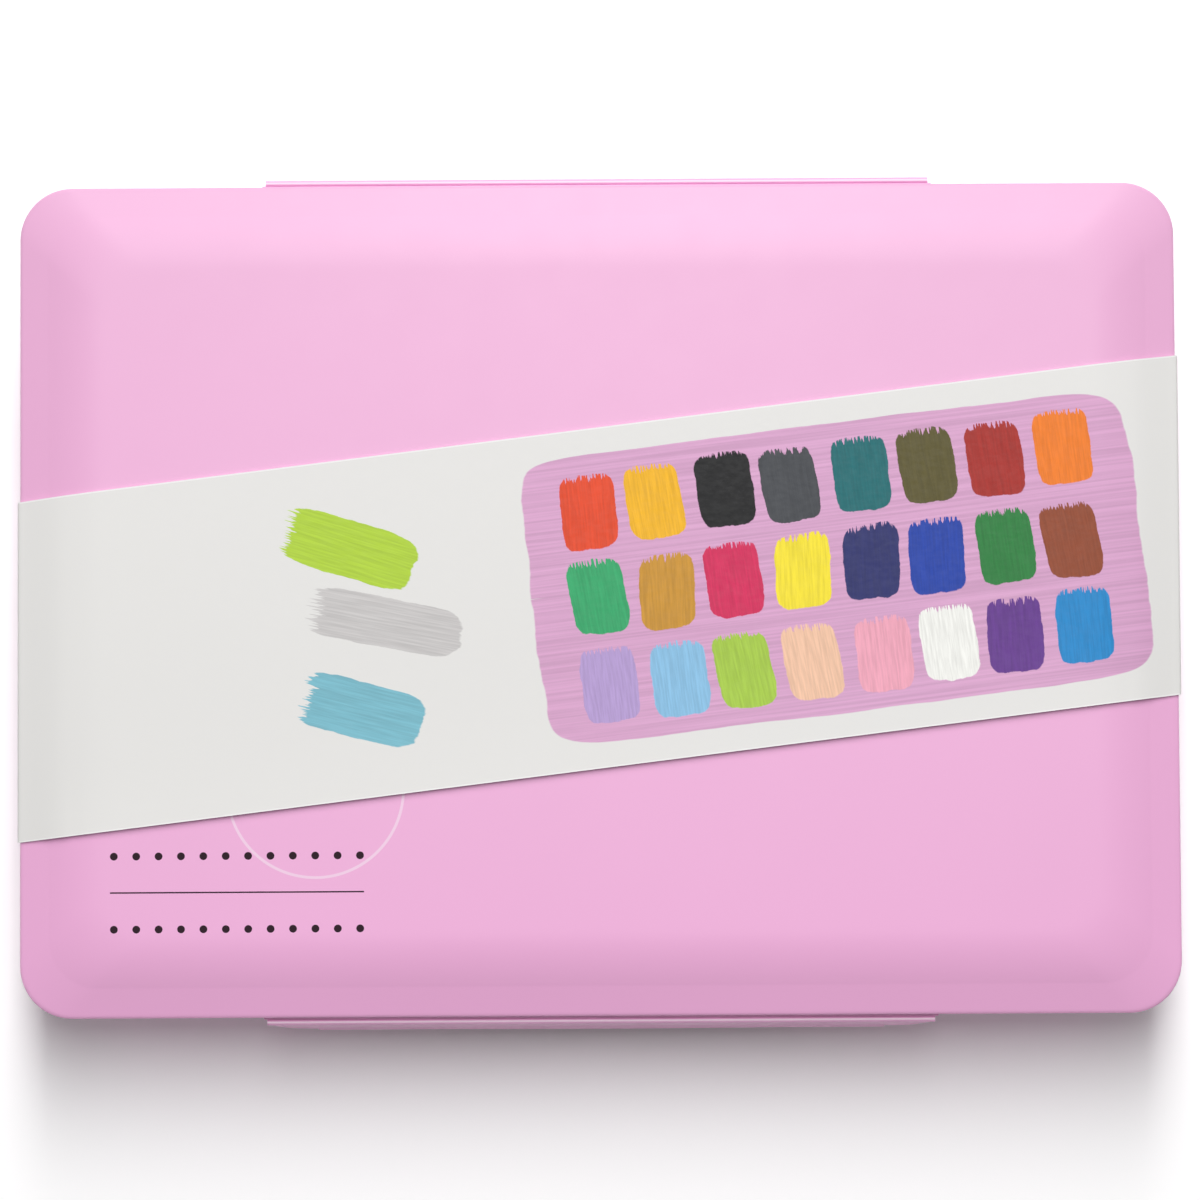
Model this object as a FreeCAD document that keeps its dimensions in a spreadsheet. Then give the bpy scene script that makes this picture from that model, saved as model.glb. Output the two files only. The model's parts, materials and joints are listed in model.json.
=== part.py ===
import FreeCAD, Part
import math
import os

import Sketcher
from FreeCAD import Placement, Rotation, Vector

# Gouache paint box: a tub, a cup deck with a brush trough, a lid with two snap flaps on its long sides,
# a slanted card band, twenty-four cups of paint and two brushes. Millimetres. +X runs along the box, -Y is
# the front, where the brush trough lies, +Z is up, and the origin is the middle of the tub's underside.

SIZES = {
    # Lid: outline, edge, sloped border, shoulder in two steps, shell and seat on the rim
    "lid_length": 344.0,
    "lid_width": 247.0,
    "lid_corner": 15.5,
    "lid_overhang": 3.5,
    "lid_edge_height": 4.4,
    "lid_border_width": 9.0,
    "lid_border_rise": 2.6,
    "lid_border_corner": 11.0,
    "lid_shoulder_low_width": 8.0,
    "lid_shoulder_low_rise": 2.0,
    "lid_shoulder_corner": 10.0,
    "lid_shoulder_high_width": 8.0,
    "lid_shoulder_high_rise": 1.0,
    "lid_top_corner": 10.0,
    "lid_top_wall": 2.1,
    "lid_skirt_wall": 2.0,
    "lid_skirt_depth": 2.1,
    "lid_seat_gap": 0.1,
    "lid_cavity_step": 3.5,
    "lid_rib_wall": 1.6,
    "lid_rib_depth": 3.6,
    "lid_rib_clearance": 0.5,
    # Living hinges: a rolled bead on each flap turns in a groove along the lid's edge
    "hinge_standoff": 1.5,
    "hinge_height": 1.0,
    "hinge_bead_radius": 0.9,
    "hinge_clearance": 0.1,
    "hinge_ledge_height": 1.7,
    "hinge_ledge_margin": 1.0,
    # Snap flaps
    "flap_length": 198.0,
    "flap_wall": 1.5,
    "flap_end_depth": 20.0,
    "flap_middle_depth": 33.0,
    "flap_end_slant": 6.0,
    "flap_kick": 3.8,
    "flap_corner": 6.0,
    "flap_grip_height": 4.0,
    "flap_grip_proud": 0.6,
    "catch_length": 170.0,
    "catch_drop": 11.7,
    "catch_height": 1.5,
    "catch_gap": 0.3,
    "catch_bite": 0.6,
    "lip_clearance": 1.6,
    "lip_height": 4.5,
    "lip_nose_height": 1.3,
    # Tub
    "tub_height": 42.0,
    "tub_wall": 2.2,
    "tub_floor": 2.2,
    "tub_draft_inset": 2.5,
    "tub_foot_bevel": 1.6,
    # Cup deck
    "rim_wall": 2.0,
    "rim_width": 8.0,
    "recess_corner": 5.0,
    "deck_drop": 4.5,
    "deck_wall": 2.0,
    "deck_key_depth": 3.0,
    "deck_key_wall": 1.6,
    "deck_key_clearance": 0.3,
    "deck_end_margin": 3.2,
    "deck_rear_margin": 2.2,
    "deck_bridge": 10.2,
    "deck_web": 3.4,
    # Brush trough
    "trough_margin": 2.0,
    "trough_width": 25.0,
    "trough_depth": 16.5,
    "trough_corner": 6.0,
    "trough_wall": 1.8,
    # Paint cups, hung in the deck by their flanges
    "cup_corner": 4.2,
    "cup_foot_inset": 2.6,
    "cup_foot_corner": 3.6,
    "cup_depth": 28.0,
    "cup_wall": 0.7,
    "cup_flange_reach": 2.15,
    "cup_flange_wall": 0.8,
    "cup_flange_corner": 5.5,
    "cup_window_clearance": 0.4,
    "cup_seat_clearance": 0.3,
    "paint_drop": 3.2,
    "paint_clearance": 0.05,
    # Card band
    "band_width": 101.0,
    "band_slant_rise": 41.9,
    "band_shift": 0.1,
    "band_card": 0.45,
    "band_gap": 0.25,
    "band_lip": 3.0,
    # Brushes
    "brush_spacing": 9.0,
    "brush_rest_gap": 0.05,
    "flat_brush_joint_x": -31.0,
    "round_brush_joint_x": -37.0,
    "handle_length": 150.0,
    "handle_tenon_length": 14.0,
    "handle_tenon_radius": 2.5,
    "handle_neck_radius": 3.0,
    "handle_belly_radius": 3.75,
    "handle_belly_x": 28.0,
    "handle_waist_radius": 2.6,
    "handle_waist_x": 102.0,
    "handle_tail_radius": 2.0,
    "handle_tail_round": 3.0,
    "handle_tip_radius": 0.9,
    "ferrule_length": 48.0,
    "ferrule_round_length": 22.0,
    "ferrule_radius": 3.1,
    "ferrule_fit": 0.05,
    "ferrule_seam_corner": 0.1,
    "crimp_first_x": 6.0,
    "crimp_pitch": 4.5,
    "crimp_width": 1.8,
    "crimp_proud": 0.35,
    "flat_mouth_width": 10.4,
    "flat_mouth_height": 4.2,
    "flat_mouth_corner": 1.9,
    "mouth_wall": 0.4,
    "round_mouth_radius": 2.1,
    "bristle_root": 8.0,
    "flat_bristle_length": 18.0,
    "flat_bristle_spread": 0.5,
    "flat_bristle_tip": 1.0,
    "flat_bristle_belly": 9.0,
    "round_bristle_length": 23.0,
    "round_bristle_belly": 8.0,
    "round_bristle_belly_radius": 2.2,
    "round_bristle_tip_radius": 0.25,
}

CUP_COLUMNS = 6
CUP_ROWS = 4
CRIMP_RINGS = 2

# Paint colours, one row of cups per line, from the brush trough to the rear and from left to right.
PAINTS = (
    ("lilac", "light_blue", "yellow_green", "peach", "light_pink", "white"),
    ("violet", "cerulean", "emerald", "ochre", "rose_red", "lemon_yellow"),
    ("indigo", "ultramarine", "grass_green", "terracotta", "orange_red", "golden_yellow"),
    ("black", "dark_grey", "teal", "olive_umber", "brick_red", "orange"),
)

# Levels and places that several pieces share, worked out from the sizes.
RIM_TOP = "(box.tub_height + box.rim_wall)"
DECK_TOP = f"({RIM_TOP} - box.deck_drop)"
DECK_UNDERSIDE = f"({DECK_TOP} - box.deck_wall)"
TROUGH_FLOOR = f"({DECK_TOP} - box.trough_depth)"
LID_SEAT = f"({RIM_TOP} + box.lid_seat_gap)"
SKIRT_BOTTOM = f"({LID_SEAT} - box.lid_skirt_depth)"
EDGE_TOP = f"({SKIRT_BOTTOM} + box.lid_edge_height)"
BORDER_TOP = f"({EDGE_TOP} + box.lid_border_rise)"
SHOULDER_TOP = f"({BORDER_TOP} + box.lid_shoulder_low_rise)"
LID_TOP = f"({SHOULDER_TOP} + box.lid_shoulder_high_rise)"

SHOULDER_INSET = "(box.lid_border_width + box.lid_shoulder_low_width)"
TOP_INSET = f"({SHOULDER_INSET} + box.lid_shoulder_high_width)"
RIM_INSET = "(box.lid_overhang + box.rim_width)"
RIB_INSET = f"({RIM_INSET} + box.lid_rib_clearance)"
CAVITY_INSET = f"({RIB_INSET} + box.lid_rib_wall)"

HINGE_REACH = "(box.lid_width/2 + box.hinge_standoff)"
HINGE_LEVEL = f"({SKIRT_BOTTOM} + box.hinge_height)"
LIP_REACH = f"({HINGE_REACH} - box.flap_wall/2 - box.lip_clearance)"
LIP_UNDERSIDE = f"({HINGE_LEVEL} - box.catch_drop)"
FLAP_SLOPE = "(box.flap_kick/box.flap_middle_depth)"

TUB_CORNER = "(box.lid_corner - box.lid_overhang)"
RECESS_REAR = f"(box.lid_width/2 - {RIM_INSET})"
TROUGH_FRONT = f"(box.trough_margin - {RECESS_REAR})"
TROUGH_REAR = f"({TROUGH_FRONT} + box.trough_width)"
TROUGH_END = f"(box.lid_length/2 - {RIM_INSET} - box.trough_margin)"

# Cup grid: equal seats with a web between them fill the deck from end to end and from the trough to the rear.
RECESS_END = f"(box.lid_length/2 - {RIM_INSET})"
GRID_LENGTH = f"(2*({RECESS_END} - box.deck_end_margin))"
GRID_WIDTH = f"({RECESS_REAR} - box.deck_rear_margin - {TROUGH_REAR} - box.deck_bridge)"
PITCH_X = f"(({GRID_LENGTH} + box.deck_web)/{CUP_COLUMNS})"
PITCH_Y = f"(({GRID_WIDTH} + box.deck_web)/{CUP_ROWS})"
FLANGE_LENGTH = f"({PITCH_X} - box.deck_web - 2*box.cup_seat_clearance)"
FLANGE_WIDTH = f"({PITCH_Y} - box.deck_web - 2*box.cup_seat_clearance)"
CUP_LENGTH = f"({FLANGE_LENGTH} - 2*box.cup_flange_reach)"
CUP_WIDTH = f"({FLANGE_WIDTH} - 2*box.cup_flange_reach)"
FIRST_COLUMN = f"(-{PITCH_X}*{CUP_COLUMNS - 1}/2)"
REAR_ROW = f"({RECESS_REAR} - box.deck_rear_margin - ({PITCH_Y} - box.deck_web)/2)"

doc = FreeCAD.newDocument("gouache_paint_box")
sheet = doc.addObject("Spreadsheet::Sheet", "box")
for row, (alias, size) in enumerate(SIZES.items(), start=1):
    sheet.set(f"A{row}", alias)
    sheet.set(f"B{row}", str(size))
    sheet.setAlias(f"B{row}", alias)
doc.recompute()

SUB_PARTS = []
SKETCH_ORIGIN = -1


def value(expression):
    """The number that an expression on the sheet comes to."""
    return float(sheet.evalExpression(expression))


def new_body(label, x="0", y="0", z="0", turn=0):
    """A sub-part with its label, placed by expressions and turned about Z by whole degrees."""
    body = doc.addObject("PartDesign::Body", label)
    body.Label = label
    body.Placement = Placement(Vector(0, 0, 0), Rotation(Vector(0, 0, 1), turn))
    for axis, expression in zip("xyz", (x, y, z)):
        body.setExpression(f"Placement.Base.{axis}", expression)
    SUB_PARTS.append(body)
    return body


def new_sketch(body, name, plane="XY_Plane", offset="0"):
    """A sketch on one of the body's own planes, moved along that plane's normal."""
    sketch = body.newObject("Sketcher::SketchObject", name)
    support = next(feature for feature in body.Origin.OriginFeatures if feature.Role == plane)
    sketch.AttachmentSupport = [(support, "")]
    sketch.MapMode = "FlatFace"
    sketch.setExpression("AttachmentOffset.Base.z", offset)
    return sketch


def constrain(sketch, shape_rules, measures):
    """Adds shape rules, and measures that are bound to their expressions, in one step."""
    constraints = [Sketcher.Constraint(*rule) for rule in shape_rules]
    constraints += [Sketcher.Constraint(*measure, value(expression)) for measure, expression in measures]
    indices = sketch.addConstraint(constraints)
    for index, (_, expression) in zip(indices[len(shape_rules):], measures):
        sketch.setExpression(f"Constraints[{index}]", expression)


def held_point(piece, point, x, y):
    """The two measures that hold a piece's point at a place in the sketch."""
    return [
        (("DistanceX", SKETCH_ORIGIN, 1, piece, point), x),
        (("DistanceY", SKETCH_ORIGIN, 1, piece, point), y),
    ]


def joined(kind, outline):
    """The rules that join each piece's end to the start of the next, all the way round."""
    return [(kind, piece, 2, after, 1) for piece, after in zip(outline, outline[1:] + outline[:1])]


def add_polygon(sketch, corners):
    """A closed outline of straight lines, each corner held by its two expressions."""
    points = [Vector(value(x), value(y), 0) for x, y in corners]
    sides = [Part.LineSegment(*ends) for ends in zip(points, points[1:] + points[:1])]
    lines = list(sketch.addGeometry(sides, False))
    measures = []
    for line, (x, y) in zip(lines, corners):
        measures += held_point(line, 1, x, y)
    constrain(sketch, joined("Coincident", lines), measures)


def add_rounded_rectangle(sketch, low, high, corner):
    """A rectangle between two corner points, with one radius at its four corners."""
    x_low, y_low = (value(part) for part in low)
    x_high, y_high = (value(part) for part in high)
    radius = value(corner)
    centres = (
        Vector(x_high - radius, y_low + radius, 0),
        Vector(x_high - radius, y_high - radius, 0),
        Vector(x_low + radius, y_high - radius, 0),
        Vector(x_low + radius, y_low + radius, 0),
    )
    arcs = []
    for quarter, centre in enumerate(centres):
        start = math.radians(90 * (quarter - 1))
        circle = Part.Circle(centre, Vector(0, 0, 1), radius)
        arcs.append(Part.ArcOfCircle(circle, start, start + math.pi / 2))
    pieces = []
    for before, arc in zip(arcs[-1:] + arcs[:-1], arcs):
        pieces += [Part.LineSegment(before.EndPoint, arc.StartPoint), arc]
    outline = list(sketch.addGeometry(pieces, False))
    bottom, right, top, left = outline[0::2]
    rounds = outline[1::2]
    rules = joined("Tangent", outline)
    rules += [("Horizontal", bottom), ("Vertical", right), ("Horizontal", top), ("Vertical", left)]
    rules += [("Equal", rounds[0], arc) for arc in rounds[1:]]
    constrain(sketch, rules, [
        (("Radius", rounds[0]), corner),
        (("DistanceX", SKETCH_ORIGIN, 1, left, 1), low[0]),
        (("DistanceX", SKETCH_ORIGIN, 1, right, 1), high[0]),
        (("DistanceY", SKETCH_ORIGIN, 1, bottom, 1), low[1]),
        (("DistanceY", SKETCH_ORIGIN, 1, top, 1), high[1]),
    ])


def add_circle(sketch, x, y, radius):
    """A circle held by its centre and radius."""
    circle = Part.Circle(Vector(value(x), value(y), 0), Vector(0, 0, 1), value(radius))
    index = sketch.addGeometry(circle, False)
    constrain(sketch, [], [(("Radius", index), radius)] + held_point(index, 3, x, y))


def centred_outline(body, name, length, width, corner, level, plane="XY_Plane"):
    """A sketch of one rounded rectangle about the body's axis, at a level."""
    sketch = new_sketch(body, name, plane, level)
    low = (f"-({length})/2", f"-({width})/2")
    high = (f"({length})/2", f"({width})/2")
    add_rounded_rectangle(sketch, low, high, corner)
    return sketch


def inset_outline(body, name, inset, corner, level):
    """The lid's outline drawn in on all sides by an inset, at a level."""
    length = f"box.lid_length - 2*({inset})"
    width = f"box.lid_width - 2*({inset})"
    return centred_outline(body, name, length, width, corner, level)


def ring_outline(body, name, outer, inner, level):
    """Two outlines about one another, each an inset from the lid's outline and a corner, at a level."""
    sketch = new_sketch(body, name, "XY_Plane", level)
    for inset, corner in (outer, inner):
        half = (f"box.lid_length/2 - ({inset})", f"box.lid_width/2 - ({inset})")
        low = tuple(f"-({part})" for part in half)
        add_rounded_rectangle(sketch, low, half, corner)
    return sketch


def extrude(body, kind, name, sketch, length, reverse=False, symmetric=False):
    """A Pad or Pocket of a sketch by a length."""
    feature = body.newObject(f"PartDesign::{kind}", name)
    feature.Profile = sketch
    feature.setExpression("Length", length)
    feature.Reversed = reverse
    if symmetric:
        feature.SideType = "Symmetric"
    return feature


def loft(body, kind, name, sketches):
    """A loft with straight sides through the sketches, added or cut away."""
    feature = body.newObject(f"PartDesign::{kind}", name)
    feature.Profile = sketches[0]
    feature.Sections = sketches[1:]
    feature.Ruled = True
    feature.Refine = False
    return feature


def revolve(body, name, sketch):
    """A full turn of a half profile about the sketch's horizontal axis."""
    feature = body.newObject("PartDesign::Revolution", name)
    feature.Profile = sketch
    feature.ReferenceAxis = (sketch, ["H_Axis"])
    feature.Angle = 360
    return feature


def fillet(body, name, base, radius, chosen):
    """Rounds the edges of a feature that a test of their middle points chooses."""
    doc.recompute()
    edges = []
    for number, edge in enumerate(base.Shape.Edges, start=1):
        middle = edge.valueAt((edge.FirstParameter + edge.LastParameter) / 2)
        if chosen(edge, middle):
            edges.append(f"Edge{number}")
    feature = body.newObject("PartDesign::Fillet", name)
    feature.Base = (base, edges)
    feature.setExpression("Radius", radius)
    return feature


def build_tub():
    """The tub: drafted walls, a flat floor and a catch lip outside each long wall."""
    body = new_body("case_base")
    outside = []
    for draft, level in (
        ("box.tub_draft_inset + box.tub_foot_bevel", "0"),
        ("box.tub_draft_inset", "box.tub_foot_bevel"),
        ("0", "box.tub_height"),
    ):
        inset = f"box.lid_overhang + {draft}"
        outside.append(inset_outline(body, "outside", inset, f"box.lid_corner - ({inset})", level))
    loft(body, "AdditiveLoft", "walls", outside)
    inside = []
    for draft, level in (("box.tub_draft_inset", "box.tub_floor"), ("0", "box.tub_height")):
        inset = f"box.lid_overhang + box.tub_wall + {draft}"
        inside.append(inset_outline(body, "inside", inset, f"box.lid_corner - ({inset})", level))
    loft(body, "SubtractiveLoft", "hollow", inside)
    root = "(box.lid_width/2 - box.lid_overhang - box.tub_wall)"
    face = "(box.lid_width/2 - box.lid_overhang)"
    for side, name in (("-", "front_lip"), ("", "rear_lip")):
        section = new_sketch(body, f"{name}_section", "YZ_Plane")
        add_polygon(section, (
            (f"{side}{root}", LIP_UNDERSIDE),
            (f"{side}{LIP_REACH}", LIP_UNDERSIDE),
            (f"{side}{LIP_REACH}", f"{LIP_UNDERSIDE} + box.lip_nose_height"),
            (f"{side}{face}", f"{LIP_UNDERSIDE} + box.lip_height"),
            (f"{side}{root}", f"{LIP_UNDERSIDE} + box.lip_height"),
        ))
        extrude(body, "Pad", name, section, "box.catch_length", symmetric=True)


def build_deck():
    """The cup deck: a rim on the tub's edge, a recessed plate with seats for cups, and the brush trough."""
    body = new_body("cup_deck")
    rim = inset_outline(body, "rim_outline", "box.lid_overhang", TUB_CORNER, "box.tub_height")
    extrude(body, "Pad", "rim", rim, "box.rim_wall")
    plate_inset = f"{RIM_INSET} - box.deck_wall"
    plate_corner = "box.recess_corner + box.deck_wall"
    plate = inset_outline(body, "plate_outline", plate_inset, plate_corner, DECK_UNDERSIDE)
    extrude(body, "Pad", "plate", plate, f"box.tub_height - {DECK_UNDERSIDE}")
    key_outer = "box.lid_overhang + box.tub_wall + box.deck_key_clearance"
    key_inner = f"{key_outer} + box.deck_key_wall"
    key = ring_outline(
        body, "key_outline",
        (key_outer, f"box.lid_corner - ({key_outer})"),
        (key_inner, f"box.lid_corner - ({key_inner})"),
        "box.tub_height",
    )
    extrude(body, "Pad", "locating_key", key, "box.deck_key_depth", reverse=True)

    trough_low = (f"-{TROUGH_END}", TROUGH_FRONT)
    trough_high = (TROUGH_END, TROUGH_REAR)
    outer_low = tuple(f"{part} - box.trough_wall" for part in trough_low)
    outer_high = tuple(f"{part} + box.trough_wall" for part in trough_high)
    shell = new_sketch(body, "trough_shell_outline", "XY_Plane", f"{TROUGH_FLOOR} - box.trough_wall")
    add_rounded_rectangle(shell, outer_low, outer_high, "box.trough_corner + box.trough_wall")
    extrude(body, "Pad", "trough_shell", shell, f"{DECK_TOP} - {TROUGH_FLOOR} + box.trough_wall")

    recess = inset_outline(body, "recess_outline", RIM_INSET, "box.recess_corner", RIM_TOP)
    extrude(body, "Pocket", "recess", recess, "box.deck_drop")
    trough = new_sketch(body, "trough_outline", "XY_Plane", DECK_TOP)
    add_rounded_rectangle(trough, trough_low, trough_high, "box.trough_corner")
    extrude(body, "Pocket", "trough", trough, "box.trough_depth")

    cuts = []
    for name, reach, corner, depth in (
        ("seat", "box.cup_flange_reach + box.cup_seat_clearance",
         "box.cup_flange_corner + box.cup_seat_clearance", "box.cup_flange_wall"),
        ("window", "box.cup_window_clearance",
         "box.cup_corner + box.cup_window_clearance", "box.deck_wall"),
    ):
        half_length = f"({CUP_LENGTH}/2 + {reach})"
        half_width = f"({CUP_WIDTH}/2 + {reach})"
        outline = new_sketch(body, f"{name}_outline", "XY_Plane", DECK_TOP)
        low = (f"{FIRST_COLUMN} - {half_length}", f"{REAR_ROW} - {half_width}")
        high = (f"{FIRST_COLUMN} + {half_length}", f"{REAR_ROW} + {half_width}")
        add_rounded_rectangle(outline, low, high, corner)
        cuts.append(extrude(body, "Pocket", name, outline, depth))
    doc.recompute()
    grid = body.newObject("PartDesign::MultiTransform", "cup_grid")
    grid.Originals = cuts
    steps = []
    for role, pitch, count, reverse in (
        ("X_Axis", PITCH_X, CUP_COLUMNS, False),
        ("Y_Axis", PITCH_Y, CUP_ROWS, True),
    ):
        step = body.newObject("PartDesign::LinearPattern", f"{role}_step")
        axis = next(feature for feature in body.Origin.OriginFeatures if feature.Role == role)
        step.Direction = (axis, [""])
        step.Reversed = reverse
        step.Occurrences = count
        step.setExpression("Length", f"{pitch}*{count - 1}")
        steps.append(step)
    grid.Transformations = steps
    body.Tip = grid


def build_lid():
    """The lid: a domed shell with a locating rib and a hinge ledge along each long side."""
    body = new_body("lid")
    edge = inset_outline(body, "edge_outline", "0", "box.lid_corner", SKIRT_BOTTOM)
    extrude(body, "Pad", "edge", edge, "box.lid_edge_height")
    dome = [
        inset_outline(body, "dome_section", inset, corner, level)
        for inset, corner, level in (
            ("0", "box.lid_corner", EDGE_TOP),
            ("box.lid_border_width", "box.lid_border_corner", BORDER_TOP),
            (SHOULDER_INSET, "box.lid_shoulder_corner", SHOULDER_TOP),
            (TOP_INSET, "box.lid_top_corner", LID_TOP),
        )
    ]
    loft(body, "AdditiveLoft", "dome", dome)
    skirt = inset_outline(
        body, "skirt_outline", "box.lid_skirt_wall", "box.lid_corner - box.lid_skirt_wall", SKIRT_BOTTOM)
    extrude(body, "Pocket", "skirt", skirt, "box.lid_skirt_depth", reverse=True)
    rib_corner = "box.recess_corner - box.lid_rib_clearance"
    cavity_corner = f"{rib_corner} - box.lid_rib_wall"
    rib = ring_outline(body, "rib_outline", (RIB_INSET, rib_corner), (CAVITY_INSET, cavity_corner), LID_SEAT)
    extrude(body, "Pad", "locating_rib", rib, "box.lid_rib_depth", reverse=True)
    cavity = inset_outline(body, "cavity_outline", CAVITY_INSET, cavity_corner, LID_SEAT)
    extrude(body, "Pocket", "cavity", cavity, "box.lid_cavity_step", reverse=True)
    ceiling = [
        inset_outline(body, "ceiling_section", inset, corner, level)
        for inset, corner, level in (
            (CAVITY_INSET, cavity_corner, f"{LID_SEAT} + box.lid_cavity_step"),
            (TOP_INSET, "box.lid_top_corner", f"{LID_TOP} - box.lid_top_wall"),
        )
    ]
    loft(body, "SubtractiveLoft", "ceiling", ceiling)
    ledge_length = "box.flap_length + 2*box.hinge_ledge_margin"
    root = "(box.lid_width/2 - box.lid_skirt_wall/2)"
    reach = f"({HINGE_REACH} - box.flap_wall/2 - box.hinge_clearance)"
    low = f"{HINGE_LEVEL} - box.hinge_ledge_height/2"
    high = f"{HINGE_LEVEL} + box.hinge_ledge_height/2"
    for side, name in (("-", "front"), ("", "rear")):
        section = new_sketch(body, f"{name}_ledge_section", "YZ_Plane")
        corners = ((root, low), (reach, low), (reach, high), (root, high))
        add_polygon(section, [(f"{side}{y}", z) for y, z in corners])
        extrude(body, "Pad", f"{name}_ledge", section, ledge_length, symmetric=True)
        bore = new_sketch(body, f"{name}_groove_section", "YZ_Plane")
        add_circle(bore, f"{side}{HINGE_REACH}", HINGE_LEVEL, "box.hinge_bead_radius + box.hinge_clearance")
        extrude(body, "Pocket", f"{name}_groove", bore, ledge_length, symmetric=True)


def lean_out(sketch, axis):
    """Turns a flap's sketch about the hinge line, so that its lower end stands out by the flap's kick."""
    lean = math.degrees(math.atan(value(FLAP_SLOPE)))
    sketch.AttachmentOffset = Placement(Vector(0, 0, 0), Rotation(axis, lean))
    sketch.setExpression("AttachmentOffset.Rotation.Angle", f"atan({FLAP_SLOPE})")


def build_flap(label, y, turn):
    """A snap flap that leans out from its hinge bead, with a bowed lower edge, a grip ridge and a catch."""
    body = new_body(label, "0", y, HINGE_LEVEL, turn)
    section = new_sketch(body, "bead_section", "YZ_Plane")
    add_circle(section, "0", "0", "box.hinge_bead_radius")
    extrude(body, "Pad", "hinge_bead", section, "box.flap_length", symmetric=True)

    half = "(box.flap_length/2)"
    low_half = f"({half} - box.flap_end_slant)"
    bow = "(box.flap_middle_depth - box.flap_end_depth)"
    bow_radius = f"(({low_half}^2 + {bow}^2)/(2*{bow}))"
    outline = new_sketch(body, "plate_outline", "XZ_Plane")
    lean_out(outline, Vector(-1, 0, 0))
    add_bowed_outline(outline, (half, "0"), (low_half, "-box.flap_end_depth"), bow_radius)
    plate = extrude(body, "Pad", "plate", outline, "box.flap_wall", symmetric=True)
    wall = value("box.flap_wall")
    end_drop = value("box.flap_end_depth") * math.cos(math.atan(value(FLAP_SLOPE)))

    def is_low_corner(edge, middle):
        through_wall = abs(edge.Length - wall) < 1e-6
        return through_wall and abs(middle.z + end_drop) < 1e-6

    fillet(body, "corners", plate, "box.flap_corner", is_low_corner)

    ridge = new_sketch(body, "grip_section", "YZ_Plane")
    lean_out(ridge, Vector(0, 0, -1))
    add_polygon(ridge, (
        ("0", "box.flap_grip_height - box.flap_end_depth"),
        ("-box.flap_wall/2", "box.flap_grip_height - box.flap_end_depth"),
        ("-box.flap_wall/2 - box.flap_grip_proud", "box.flap_grip_height/2 - box.flap_end_depth"),
        ("-box.flap_wall/2", "-box.flap_end_depth"),
        ("0", "-box.flap_end_depth"),
    ))
    extrude(body, "Pad", "grip_ridge", ridge, "box.catch_length", symmetric=True)

    catch_top = "(-box.catch_drop - box.catch_gap)"
    tip = "(box.flap_wall/2 + box.lip_clearance + box.catch_bite)"
    catch_foot = f"({catch_top} - 2*box.catch_height)"
    catch = new_sketch(body, "catch_section", "YZ_Plane")
    add_polygon(catch, (
        (f"{catch_top}*{FLAP_SLOPE}", catch_top),
        (tip, catch_top),
        (tip, f"{catch_top} - box.catch_height/2"),
        (f"box.flap_wall/2 + {catch_foot}*{FLAP_SLOPE}", catch_foot),
        (f"{catch_foot}*{FLAP_SLOPE}", catch_foot),
    ))
    extrude(body, "Pad", "catch", catch, "box.catch_length", symmetric=True)


def add_bowed_outline(sketch, top_corner, low_corner, bow_radius):
    """A plate outline, mirrored about the vertical axis, whose lower edge is one arc that bows down."""
    top_x, top_y = (value(part) for part in top_corner)
    low_x, low_y = (value(part) for part in low_corner)
    radius = value(bow_radius)
    half_angle = math.asin(low_x / radius)
    circle = Part.Circle(Vector(0, low_y + radius * math.cos(half_angle), 0), Vector(0, 0, 1), radius)
    down = 3 * math.pi / 2
    bow = Part.ArcOfCircle(circle, down - half_angle, down + half_angle)
    right_side = [Vector(low_x, low_y, 0), Vector(top_x, top_y, 0)]
    corners = right_side + [Vector(-point.x, point.y, 0) for point in reversed(right_side)]
    sides = [Part.LineSegment(*ends) for ends in zip(corners, corners[1:])]
    outline = list(sketch.addGeometry([bow] + sides, False))
    arc, right, top, left = outline
    measures = [(("Radius", arc), bow_radius)]
    measures += held_point(right, 1, *low_corner)
    measures += held_point(top, 1, *top_corner)
    measures += held_point(left, 1, f"-{top_corner[0]}", top_corner[1])
    measures += held_point(left, 2, f"-{low_corner[0]}", low_corner[1])
    constrain(sketch, joined("Coincident", outline), measures)


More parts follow.
